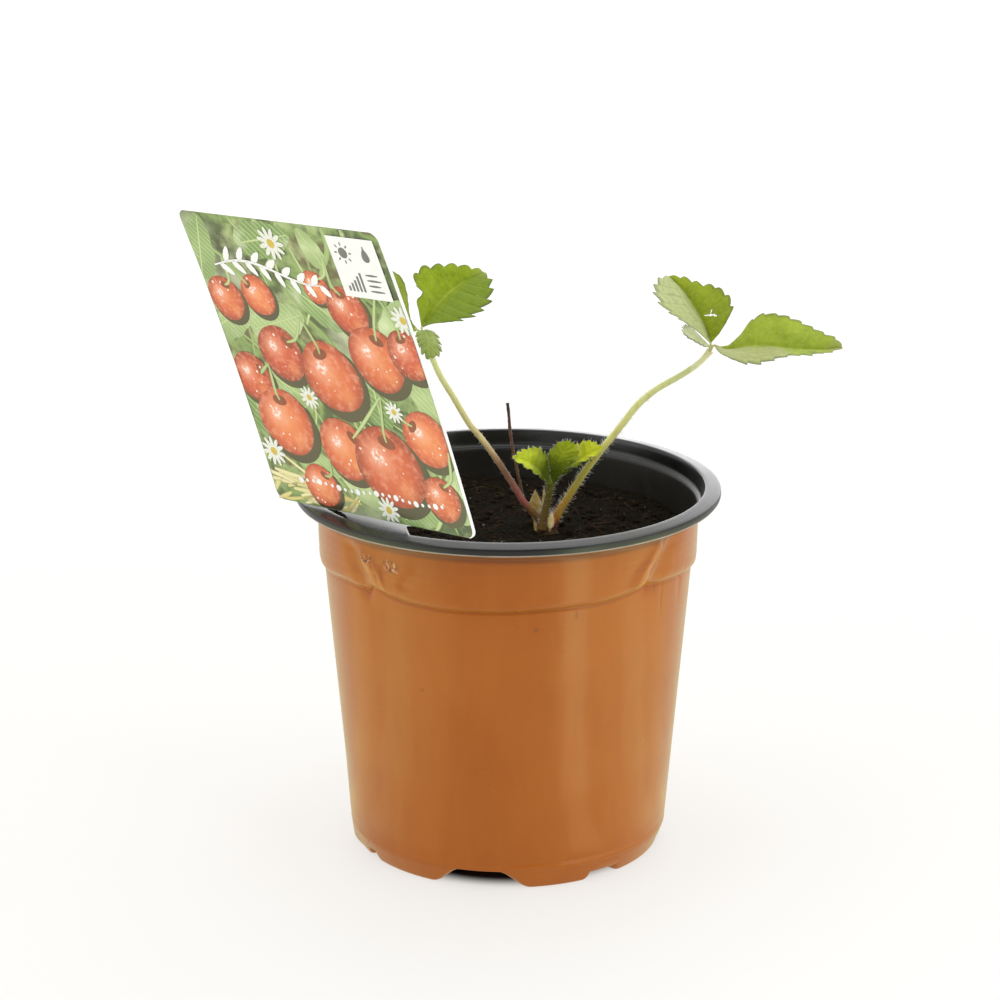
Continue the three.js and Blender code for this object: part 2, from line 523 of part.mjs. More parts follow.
const STEM_COLOURS = {
  petiole_left: '#a8a548', petiole_right: '#b0a23c', petiole_young: '#8f9a3a', old_stalk: '#6a4b33',
};
for (const [name, { path, r0, r1, steps }] of Object.entries(STEMS)) {
  piece(name, bentRod(path, (t) => r0 + (r1 - r0) * t, steps, 8), STEM_COLOURS[name], 0.6);
}
for (const [name, data] of Object.entries(LEAFLETS)) {
  piece(name, blade(data), name.includes('young') ? '#a9c02c' : '#8faa2c', 0.5);
}
for (const [name, data] of Object.entries(STIPULES)) {
  piece(name, blade(data, 1, 0.35), '#b79a5c', 0.7);
}

// The origin goes under the middle of the bounding box.
const box = new THREE.Box3().setFromObject(plant);
plant.position.set(-(box.min.x + box.max.x) / 2, -(box.min.y + box.max.y) / 2, -box.min.z);

const group = new THREE.Group();
group.add(plant);

export default group;
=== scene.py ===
import bpy
import math
import numpy as np
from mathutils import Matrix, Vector, noise


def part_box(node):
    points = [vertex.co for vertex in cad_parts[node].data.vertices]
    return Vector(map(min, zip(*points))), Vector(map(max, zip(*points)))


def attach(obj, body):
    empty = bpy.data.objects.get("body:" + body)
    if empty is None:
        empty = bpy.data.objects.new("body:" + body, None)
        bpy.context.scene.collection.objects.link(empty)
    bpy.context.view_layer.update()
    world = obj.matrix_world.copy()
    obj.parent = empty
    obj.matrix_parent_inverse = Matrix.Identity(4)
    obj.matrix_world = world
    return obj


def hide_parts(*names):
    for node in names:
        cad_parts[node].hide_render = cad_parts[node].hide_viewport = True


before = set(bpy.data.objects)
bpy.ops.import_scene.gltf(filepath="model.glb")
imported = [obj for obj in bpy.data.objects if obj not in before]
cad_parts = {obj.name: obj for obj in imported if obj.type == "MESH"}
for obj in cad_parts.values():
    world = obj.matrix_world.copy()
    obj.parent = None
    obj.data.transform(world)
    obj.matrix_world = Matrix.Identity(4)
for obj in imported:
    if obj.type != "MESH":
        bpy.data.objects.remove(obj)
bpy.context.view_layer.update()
_lo, _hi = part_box("pot")
AXIS = np.array([(_lo.x + _hi.x) / 2, (_lo.y + _hi.y) / 2, 0.0])  # the pot's axis
MM = 0.001
RNG = np.random.default_rng(7)


# ------------------------------------------------------------------ mesh tools
class Build:
    """Collects vertices (mm, pot-axis frame), faces, material numbers and one vector attribute."""

    def __init__(self):
        self.v, self.f, self.m, self.a, self.n = [], [], [], [], 0

    def add(self, verts, faces, mat=0, attr=None):
        verts = np.asarray(verts, float).reshape(-1, 3)
        if attr is None:
            attr = np.zeros((len(verts), 3))
        self.v.append(verts)
        self.a.append(np.broadcast_to(np.asarray(attr, float), (len(verts), 3)))
        base = self.n
        self.f.extend([tuple(int(i) + base for i in f) for f in faces])
        self.m.extend([mat] * len(faces) if np.isscalar(mat) else list(mat))
        self.n += len(verts)
        return base

    def make(self, name, mats, node=None, slot=None, smooth=True, attr_name="blade"):
        v = np.concatenate(self.v) * MM + AXIS
        a = np.concatenate(self.a)
        me = bpy.data.meshes.new(name)
        me.from_pydata(v.tolist(), [], self.f)
        for m in mats:
            me.materials.append(m)
        me.polygons.foreach_set("material_index", np.array(self.m, np.int32))
        me.polygons.foreach_set("use_smooth", np.full(len(self.f), smooth))
        at = me.attributes.new(attr_name, "FLOAT_VECTOR", "POINT")
        at.data.foreach_set("vector", a.astype(np.float32).ravel())
        me.validate()
        me.update()
        ob = bpy.data.objects.new(name, me)
        bpy.context.scene.collection.objects.link(ob)
        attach(ob, "root")
        if node:
            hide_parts(node)
        return ob


def grid_faces(rows, cols, wrap=False, flip=False):
    out = []
    for i in range(rows - 1):
        for j in range(cols if wrap else cols - 1):
            k = (j + 1) % cols
            q = (i * cols + j, i * cols + k, (i + 1) * cols + k, (i + 1) * cols + j)
            out.append(q[::-1] if flip else q)
    return out


def smoothstep(a, b, x):
    t = np.clip((np.asarray(x, float) - a) / (b - a), 0, 1)
    return t * t * (3 - 2 * t)


class Curve:
    """A centripetal Catmull-Rom curve by arc length."""

    def __init__(self, pts, n=600):
        p = np.asarray(pts, float)
        q = np.vstack([2 * p[0] - p[1], p, 2 * p[-1] - p[-2]])
        out = []
        per = max(8, n // (len(p) - 1))
        for i in range(1, len(q) - 2):
            p0, p1, p2, p3 = q[i - 1], q[i], q[i + 1], q[i + 2]
            d = [max(np.linalg.norm(b - a) ** 0.5, 1e-4) for a, b in ((p0, p1), (p1, p2), (p2, p3))]
            t0, t1 = 0.0, d[0]
            t2 = t1 + d[1]
            t3 = t2 + d[2]
            t = np.linspace(t1, t2, per, endpoint=i == len(q) - 3)[:, None]
            a1 = (t1 - t) / (t1 - t0) * p0 + (t - t0) / (t1 - t0) * p1
            a2 = (t2 - t) / (t2 - t1) * p1 + (t - t1) / (t2 - t1) * p2
            a3 = (t3 - t) / (t3 - t2) * p2 + (t - t2) / (t3 - t2) * p3
            b1 = (t2 - t) / (t2 - t0) * a1 + (t - t0) / (t2 - t0) * a2
            b2 = (t3 - t) / (t3 - t1) * a2 + (t - t1) / (t3 - t1) * a3
            out.append((t2 - t) / (t2 - t1) * b1 + (t - t1) / (t2 - t1) * b2)
        self.p = np.vstack(out)
        s = np.concatenate([[0], np.cumsum(np.linalg.norm(np.diff(self.p, axis=0), axis=1))])
        self.length = s[-1]
        self.s = s / s[-1]

    def at(self, u):
        u = np.clip(np.atleast_1d(u), 0, 1)
        return np.stack([np.interp(u, self.s, self.p[:, k]) for k in range(3)], 1)

    def tangent(self, u, h=0.004):
        u = np.atleast_1d(u)
        d = self.at(np.clip(u + h, 0, 1)) - self.at(np.clip(u - h, 0, 1))
        return d / np.maximum(np.linalg.norm(d, axis=1, keepdims=True), 1e-9)


def frames_along(points):
    """Normals and binormals carried along a polyline without twist."""
    t = np.gradient(points, axis=0)
    t /= np.linalg.norm(t, axis=1, keepdims=True)
    up = np.array([0, 0, 1.0]) if abs(t[0][2]) < 0.9 else np.array([0, 1.0, 0])
    n = np.cross(t[0], up)
    n /= np.linalg.norm(n)
    ns = [n]
    for i in range(1, len(points)):
        n = ns[-1] - t[i] * np.dot(ns[-1], t[i])
        ns.append(n / np.linalg.norm(n))
    ns = np.array(ns)
    return t, ns, np.cross(t, ns)


def tube(b, pts, radius, sides=12, mat=0, attr=None, lumps=0.0, seed=0.0):
    """A closed tube along pts; radius is a list, one for each point."""
    pts = np.asarray(pts, float)
    t, n, bn = frames_along(pts)
    ang = np.linspace(0, 2 * math.pi, sides, endpoint=False)
    ring = np.cos(ang)[None, :, None] * n[:, None] + np.sin(ang)[None, :, None] * bn[:, None]
    r = np.asarray(radius, float)[:, None, None] * np.ones((len(pts), sides, 1))
    if lumps:
        for i in range(len(pts)):
            for j in range(sides):
                r[i, j, 0] *= 1 + lumps * noise.noise(Vector((i * 0.35 + seed, math.cos(ang[j]), math.sin(ang[j]))))
    v = (pts[:, None] + ring * r).reshape(-1, 3)
    f = grid_faces(len(pts), sides, wrap=True)
    k = len(v)
    v = np.vstack([v, pts[0], pts[-1]])
    f += [(k, (j + 1) % sides, j) for j in range(sides)]
    o = (len(pts) - 1) * sides
    f += [(k + 1, o + j, o + (j + 1) % sides) for j in range(sides)]
    if attr is None:
        along = np.linspace(0, 1, len(pts))
        attr = np.zeros((len(v), 3))
        attr[:k, 0] = np.repeat(along, sides)
        attr[k + 1, 0] = 1
    b.add(v, f, mat, attr)


def hair(b, base, direction, length, radius=0.035, mat=0, bend=None):
    """One hair: a thin curved three-sided spike."""
    d = direction / max(np.linalg.norm(direction), 1e-9)
    side = np.cross(d, [0.3, 0.5, 0.81])
    side /= max(np.linalg.norm(side), 1e-9)
    other = np.cross(d, side)
    bend = np.zeros(3) if bend is None else bend
    v = []
    for k, (u, r) in enumerate(((-0.06, 1.0), (0.5, 0.75))):
        c = base + d * length * u + bend * length * u * u
        for a in (0, 2.094, 4.189):
            v.append(c + radius * r * (math.cos(a) * side + math.sin(a) * other))
    v.append(base + d * length + bend * length)
    f = [(0, 1, 4, 3), (1, 2, 5, 4), (2, 0, 3, 5), (3, 4, 6), (4, 5, 6), (5, 3, 6), (2, 1, 0)]
    b.add(v, f, mat, np.zeros(3))


# ------------------------------------------------------------------- materials
class Nodes:
    def __init__(self, name):
        self.mat = bpy.data.materials.new(name)
        self.mat.use_nodes = True
        self.t = self.mat.node_tree
        self.t.nodes.clear()
        self.out = self.t.nodes.new("ShaderNodeOutputMaterial")
        self.bsdf = self.t.nodes.new("ShaderNodeBsdfPrincipled")
        self.t.links.new(self.bsdf.outputs[0], self.out.inputs[0])

    def new(self, kind, **props):
        n = self.t.nodes.new(kind)
        for k, v in props.items():
            setattr(n, k, v)
        return n

    def link(self, a, b):
        self.t.links.new(a, b)

    def coords(self, scale=(1, 1, 1)):
        tc = self.new("ShaderNodeTexCoord")
        mp = self.new("ShaderNodeMapping")
        mp.inputs["Scale"].default_value = scale
        self.link(tc.outputs["Object"], mp.inputs["Vector"])
        return mp.outputs["Vector"]

    def attr(self, name="blade"):
        n = self.new("ShaderNodeAttribute", attribute_name=name)
        s = self.new("ShaderNodeSeparateXYZ")
        self.link(n.outputs["Vector"], s.inputs[0])
        return n.outputs["Vector"], s.outputs["X"], s.outputs["Y"], s.outputs["Z"]

    def noise(self, vec, scale, detail=4, rough=0.55, distortion=0.0):
        n = self.new("ShaderNodeTexNoise")
        n.inputs["Scale"].default_value = scale
        n.inputs["Detail"].default_value = detail
        n.inputs["Roughness"].default_value = rough
        n.inputs["Distortion"].default_value = distortion
        self.link(vec, n.inputs["Vector"])
        return n.outputs["Fac"]

    def voronoi(self, vec, scale, feature="F1", out="Distance", rand=1.0):
        n = self.new("ShaderNodeTexVoronoi", feature=feature)
        n.inputs["Scale"].default_value = scale
        n.inputs["Randomness"].default_value = rand
        self.link(vec, n.inputs["Vector"])
        return n.outputs[out]

    def ramp(self, fac, stops, mode="LINEAR"):
        n = self.new("ShaderNodeValToRGB")
        n.color_ramp.interpolation = mode
        e = n.color_ramp.elements
        while len(e) < len(stops):
            e.new(0.5)
        for i, (p, c) in enumerate(stops):
            e[i].position = p
            e[i].color = (c, c, c, 1) if np.isscalar(c) else (*c, 1)
        self.link(fac, n.inputs["Fac"])
        return n.outputs["Color"]

    def mix(self, fac, a, b, mode="MIX"):
        n = self.new("ShaderNodeMix", data_type="RGBA", blend_type=mode)
        for k, v in ((0, fac), (6, a), (7, b)):
            if isinstance(v, (int, float)):
                n.inputs[k].default_value = v
            elif isinstance(v, tuple):
                n.inputs[k].default_value = (*v, 1)
            else:
                self.link(v, n.inputs[k])
        return n.outputs[2]

    def math(self, op, a, b=0.0, c=0.0, clamp=False):
        n = self.new("ShaderNodeMath", operation=op, use_clamp=clamp)
        for k, v in enumerate((a, b, c)):
            if isinstance(v, (int, float)):
                n.inputs[k].default_value = v
            else:
                self.link(v, n.inputs[k])
        return n.outputs[0]

    def maprange(self, v, a, b, c=0.0, d=1.0, smooth=False):
        n = self.new("ShaderNodeMapRange", clamp=True)
        if smooth:
            n.interpolation_type = "SMOOTHSTEP"
        for k, x in zip(("From Min", "From Max", "To Min", "To Max"), (a, b, c, d)):
            n.inputs[k].default_value = x
        self.link(v, n.inputs["Value"])
        return n.outputs[0]

    def bump(self, height, strength=0.3, distance=0.0005, normal=None):
        n = self.new("ShaderNodeBump")
        n.inputs["Strength"].default_value = strength
        n.inputs["Distance"].default_value = distance
        self.link(height, n.inputs["Height"])
        if normal is not None:
            self.link(normal, n.inputs["Normal"])
        return n.outputs["Normal"]

    def set(self, **vals):
        for k, v in vals.items():
            name = {
                "color": "Base Color", "rough": "Roughness", "spec": "Specular IOR Level", "coat": "Coat Weight",
                "coat_rough": "Coat Roughness", "sheen": "Sheen Weight", "sheen_rough": "Sheen Roughness",
                "sheen_tint": "Sheen Tint", "sss": "Subsurface Weight", "sss_radius": "Subsurface Radius",
                "sss_scale": "Subsurface Scale", "normal": "Normal", "metal": "Metallic", "ior": "IOR",
            }[k]
            s = self.bsdf.inputs[name]
            if isinstance(v, bpy.types.NodeSocket):
                self.link(v, s)
            elif isinstance(v, tuple) and name in ("Base Color", "Sheen Tint"):
                s.default_value = (*v, 1)
            else:
                s.default_value = v
        return self.mat


def terracotta():
    m = Nodes("terracotta_plastic")
    c = m.coords()
    big = m.noise(c, 28, 3)
    fine = m.noise(c, 420, 3)
    stretched = m.noise(m.coords((60, 60, 9)), 4.0, 3)
    col = m.mix(m.maprange(big, 0.3, 0.7), (0.375, 0.094, 0.0045), (0.42, 0.112, 0.0065))
    col = m.mix(m.maprange(stretched, 0.35, 0.75, 0, 0.30), col, (0.45, 0.138, 0.011))
    col = m.mix(m.maprange(fine, 0.66, 0.78, 0, 0.22), col, (0.27, 0.065, 0.010))
    # the attribute holds (height on the true profile in dm, degrees from the front / 100, 0)
    vec, h, deg, none = m.attr("pot")
    # painted shade: the wall is coloured darker just under the rim's lip
    under = m.maprange(h, 1.0600, 1.0730, 0, 0.68)
    col = m.mix(under, col, (0.115, 0.030, 0.008))
    # painted shade in the groove under the collar step, strongest across the front, broken up by noise
    groove_shade = m.maprange(m.math("ABSOLUTE", m.math("SUBTRACT", h, 0.8915)), 0.0022, 0.0075, 0.36, 0, smooth=True)
    groove_shade = m.math("MULTIPLY", groove_shade, m.maprange(m.math("ABSOLUTE", deg), 0.30, 0.44, 0.62, 0.12))
    groove_shade = m.math("MULTIPLY", groove_shade, m.maprange(m.noise(c, 46, 3), 0.3, 0.6, 0.55, 1.0))
    col = m.mix(groove_shade, col, (0.085, 0.024, 0.006))
    # painted highlight: a pale streak along each crease, where the pressed folds catch the light
    for d0, h0, slant, wd, h1, amt in ((0.420, 0.905, 0.486, 0.020, 1.085, 0.42), (-0.426, 0.905, -0.395, 0.020, 1.05, 0.40), (-0.406, 0.93, -0.26, 0.011, 1.01, 0.38)):
        dx = m.math("DIVIDE", m.math("SUBTRACT", m.math("SUBTRACT", deg, d0), m.math("MULTIPLY", m.math("SUBTRACT", h, h0), slant)), wd)
        near = m.maprange(m.math("MULTIPLY", dx, dx), 0.0, 1.0, amt, 0, smooth=True)
        near = m.math("MULTIPLY", near, m.math("MULTIPLY", m.maprange(h, 0.895, 0.915, 0, 1), m.maprange(h, h1 - 0.05, h1, 1, 0)))
        col = m.mix(near, col, (0.62, 0.285, 0.085))
    # scuffed spots on the two left creases, and a few handling marks
    grit = m.noise(c, 820, 2)
    for d0, h0, wd, wh in ((-0.456, 1.016, 0.030, 0.022), (-0.366, 1.008, 0.034, 0.032)):
        dx = m.math("DIVIDE", m.math("SUBTRACT", deg, d0), wd)
        dy = m.math("DIVIDE", m.math("SUBTRACT", h, h0), wh)
        near = m.maprange(m.math("ADD", m.math("MULTIPLY", dx, dx), m.math("MULTIPLY", dy, dy)), 0.15, 1.1, 1, 0)
        col = m.mix(m.math("MULTIPLY", near, m.maprange(grit, 0.54, 0.59, 0, 0.95)), col, (0.075, 0.035, 0.028))
        col = m.mix(m.math("MULTIPLY", near, m.maprange(grit, 0.43, 0.38, 0, 0.75)), col, (0.66, 0.47, 0.33))
    for d0, h0, wd, wh, amt in ((0.208, 0.868, 0.006, 0.014, 0.45), (0.083, 0.838, 0.009, 0.007, 0.35), (0.505, 0.882, 0.006, 0.020, 0.3), (-0.28, 0.64, 0.01, 0.006, 0.3)):
        dx = m.math("DIVIDE", m.math("SUBTRACT", deg, d0), wd)
        dy = m.math("DIVIDE", m.math("SUBTRACT", h, h0), wh)
        near = m.maprange(m.math("ADD", m.math("MULTIPLY", dx, dx), m.math("MULTIPLY", dy, dy)), 0.5, 1.2, amt, 0)
        col = m.mix(near, col, (0.16, 0.045, 0.012))
    b1 = m.bump(m.noise(c, 95, 2), 0.06, 0.0005)
    b2 = m.bump(fine, 0.04, 0.0002, b1)
    return m.set(color=col, rough=m.maprange(m.noise(c, 60, 4), 0.3, 0.7, 0.27, 0.34), spec=0.22, coat=0.13,
                 coat_rough=0.13, sheen=0.27, sheen_rough=0.35, sheen_tint=(0.50, 0.90, 0.04), normal=b2)


def black_plastic():
    m = Nodes("black_plastic")
    c = m.coords()
    n1 = m.noise(c, 35, 4)
    fine = m.noise(c, 900, 2)
    col = m.mix(m.maprange(n1, 0.3, 0.7), (0.0055, 0.006, 0.005), (0.012, 0.012, 0.010))
    col = m.mix(m.maprange(fine, 0.70, 0.78, 0, 0.4), col, (0.06, 0.045, 0.03))
    return m.set(color=col, rough=m.maprange(n1, 0.3, 0.7, 0.17, 0.30), spec=0.5,
                 normal=m.bump(m.noise(c, 120, 2), 0.08, 0.0005))


def rim_top():
    """The rolled rim: a duller black, painted greyer on its upper face for the light that face catches."""
    m = Nodes("rim_black")
    c = m.coords()
    n1 = m.noise(c, 60, 4)
    fine = m.noise(c, 1300, 2)
    vec, h, deg, none = m.attr("pot")
    col = m.mix(m.maprange(n1, 0.3, 0.7), (0.014, 0.0145, 0.014), (0.026, 0.026, 0.025))
    col = m.mix(m.maprange(fine, 0.62, 0.76, 0, 0.5), col, (0.085, 0.08, 0.07))
    return m.set(color=col, rough=m.maprange(n1, 0.3, 0.7, 0.24, 0.34), spec=0.62,
                 normal=m.bump(m.noise(c, 140, 2), 0.07, 0.0005))


def rim_side():
    m = Nodes("rim_side_black")
    c = m.coords()
    n1 = m.noise(c, 45, 4)
    col = m.mix(m.maprange(n1, 0.3, 0.7), (0.007, 0.0078, 0.007), (0.014, 0.0145, 0.013))
    return m.set(color=col, rough=m.maprange(n1, 0.3, 0.7, 0.30, 0.42), spec=0.36, normal=m.bump(m.noise(c, 120, 2), 0.06, 0.0005))


def inner_wall():
    m = Nodes("inner_wall_black")
    c = m.coords()
    n1 = m.noise(c, 40, 4)
    fine = m.noise(c, 620, 3)
    col = m.mix(m.maprange(n1, 0.3, 0.7), (0.016, 0.0148, 0.012), (0.030, 0.0275, 0.022))
    col = m.mix(m.maprange(fine, 0.62, 0.76, 0, 0.55), col, (0.055, 0.042, 0.028))
    return m.set(color=col, rough=m.maprange(n1, 0.3, 0.7, 0.42, 0.6), spec=0.21, normal=m.bump(fine, 0.12, 0.0003))


def cut_edge():
    m = Nodes("rim_cut_edge")
    n1 = m.noise(m.coords(), 160, 3)
    return m.set(color=m.mix(m.maprange(n1, 0.3, 0.7), (0.27, 0.215, 0.17), (0.40, 0.33, 0.27)), rough=0.4, spec=0.5)


def peat(name, dark, light, scale=900):
    m = Nodes(name)
    c = m.coords()
    n1 = m.noise(c, scale, 5, 0.7)
    n2 = m.noise(c, scale * 0.18, 3)
    col = m.mix(m.maprange(n1, 0.35, 0.75), dark, light)
    col = m.mix(m.maprange(n2, 0.45, 0.8, 0, 0.5), col, tuple(x * 0.5 for x in dark))
    return m.set(color=col, rough=1.0, spec=0.06, normal=m.bump(n1, 0.7, 0.0006))


def leaf(name, deep, bright, vein, under=False, sheen=0.12, rough=0.42, glare_side=0.0, mottle=0.35, pale=(0.47, 0.50, 0.235),
         pale_end=None, shade_side=0.0, base_shade=None, tip=None, vein_amt=0.16, edge_amt=0.62, edge_at=0.885, spec=0.22):
    """Blade finish. The attribute holds (side -1..1, vein phase, length 0..1)."""
    m = Nodes(name)
    c = m.coords()
    vec, s, ph, t = m.attr()
    n0 = m.noise(c, 75, 3)
    n1 = m.noise(c, 210, 4)
    n2 = m.noise(c, 760, 3)
    cells = m.voronoi(c, 1150, "DISTANCE_TO_EDGE")
    col = m.mix(m.maprange(n1, 0.3, 0.7), deep, bright)
    col = m.mix(m.maprange(n0, 0.35, 0.7, 0, 0.35), col, tuple(x * 0.8 for x in deep))
    col = m.mix(m.maprange(n2, 0.4, 0.75, 0, mottle), col, tuple(min(1, x * 1.3) for x in bright))
    if shade_side:
        half = m.maprange(s if shade_side > 0 else m.math("MULTIPLY", s, -1.0), 0.02, 0.3, 0, abs(shade_side))
        col = m.mix(half, col, (deep[0] * 0.80, deep[1] * 0.88, deep[2] * 2.4 + 0.008))
    # side veins lie at whole numbers of the phase
    frac = m.math("FRACT", m.math("ADD", ph, 100.5))
    dist = m.math("ABSOLUTE", m.math("SUBTRACT", frac, 0.5))
    veins = m.maprange(dist, 0.015, 0.075, 1, 0, smooth=True)
    fine = m.maprange(cells, 0.0, 0.09, 1, 0)
    mid = m.maprange(m.math("ABSOLUTE", s), 0.008, 0.055, 1, 0, smooth=True)
    # the fine branches between the side veins
    branch = m.math("ABSOLUTE", m.math("SUBTRACT", m.math("FRACT", m.math("ADD", m.math("MULTIPLY", m.math("ABSOLUTE", s), 7.0), m.math("MULTIPLY", dist, 3.0))), 0.5))
    branch = m.maprange(branch, 0.03, 0.12, 1, 0, smooth=True)
    # painted sheen: one half of the blade is coloured pale for the glare it shows at a grazing angle
    if glare_side:
        side = m.maprange(s if glare_side > 0 else m.math("MULTIPLY", s, -1.0), 0.0, 0.10, 0, abs(glare_side))
        if pale_end:
            side = m.math("MULTIPLY", side, m.maprange(m.math("ADD", t, m.maprange(n1, 0.3, 0.7, -0.04, 0.04)), pale_end - 0.05, pale_end + 0.05, 1, 0, smooth=True))
        # painted sheen: silky light lines along the pale half, glints off its ridges
        silk_glints = m.math("ABSOLUTE", m.math("SUBTRACT", m.math("FRACT", m.math("ADD", m.math("MULTIPLY", m.math("ABSOLUTE", s), 5.0), m.maprange(n1, 0.3, 0.7, 0, 0.8))), 0.5))
        pc = m.mix(m.maprange(silk_glints, 0.05, 0.4, 0, 0.55), pale, tuple(x * 0.72 for x in pale))
        pc = m.mix(m.maprange(n2, 0.45, 0.75, 0, 0.5), pc, tuple(min(1, x * 1.25) for x in pale))
        col = m.mix(side, col, pc)
    col = m.mix(m.math("MULTIPLY", branch, 0.10 if not under else 0.2), col, vein)
    col = m.mix(m.math("MULTIPLY", fine, 0.12 if not under else 0.25), col, vein)
    col = m.mix(m.math("MULTIPLY", veins, vein_amt if not under else 0.5), col, vein)
    col = m.mix(m.math("MULTIPLY", mid, 0.6), col, vein)
    # painted shade in the hollow at the base of the blade, where the leaflets meet
    if base_shade:
        col = m.mix(m.maprange(m.math("ADD", t, m.maprange(n1, 0.3, 0.7, -0.06, 0.06)), 0.26, 0.78, 1, 0, smooth=True), col, base_shade)
    if tip:
        col = m.mix(m.maprange(m.math("ADD", t, m.maprange(n1, 0.3, 0.7, -0.04, 0.04)), 0.86, 1.0, 0, 0.7), col, tip)
    # painted shade along the margin and the tooth tips
    edge = m.maprange(m.math("ABSOLUTE", s), edge_at, 1.0, 0, edge_amt)
    col = m.mix(edge, col, (0.10, 0.125, 0.055))
    h = m.math("ADD", m.math("MULTIPLY", cells, 1.0), m.math("MULTIPLY", n2, 0.3))
    h = m.math("SUBTRACT", h, m.math("MULTIPLY", veins, 0.35))
    return m.set(color=col, rough=m.maprange(n1, 0.3, 0.7, rough, rough + 0.12), spec=spec, sheen=sheen, sheen_rough=0.45,
                 sheen_tint=(0.93, 1.0, 0.80), sss=0.12, sss_radius=(0.6, 1.0, 0.2), sss_scale=0.0005,
                 normal=m.bump(h, 0.4, 0.00035))


def stem(name, stops, speck=(0.25, 0.08, 0.04)):
    m = Nodes(name)
    vec, x, y, z = m.attr()
    c = m.coords()
    n1 = m.noise(c, 260, 4)
    long = m.noise(m.coords((900, 900, 90)), 1.0, 3)
    u = m.math("ADD", x, m.maprange(n1, 0.3, 0.7, -0.035, 0.035))
    col = m.ramp(u, stops)
    col = m.mix(m.maprange(long, 0.5, 0.8, 0, 0.3), col, speck)
    return m.set(color=col, rough=0.42, spec=0.3, sheen=0.08, sheen_rough=0.5, sss=0.12, sss_radius=(1.0, 0.7, 0.3),
                 sss_scale=0.0006, normal=m.bump(n1, 0.25, 0.0002))


def plain(name, a, b, scale=300, rough=0.5, spec=0.4, bump=0.2, sheen=0.0, detail=4):
    m = Nodes(name)
    n1 = m.noise(m.coords(), scale, detail)
    return m.set(color=m.mix(m.maprange(n1, 0.3, 0.7), a, b), rough=rough, spec=spec, sheen=sheen,
                 normal=m.bump(n1, bump, 0.0003))


# ------------------------------------------------------------------------- pot
H = 113.8


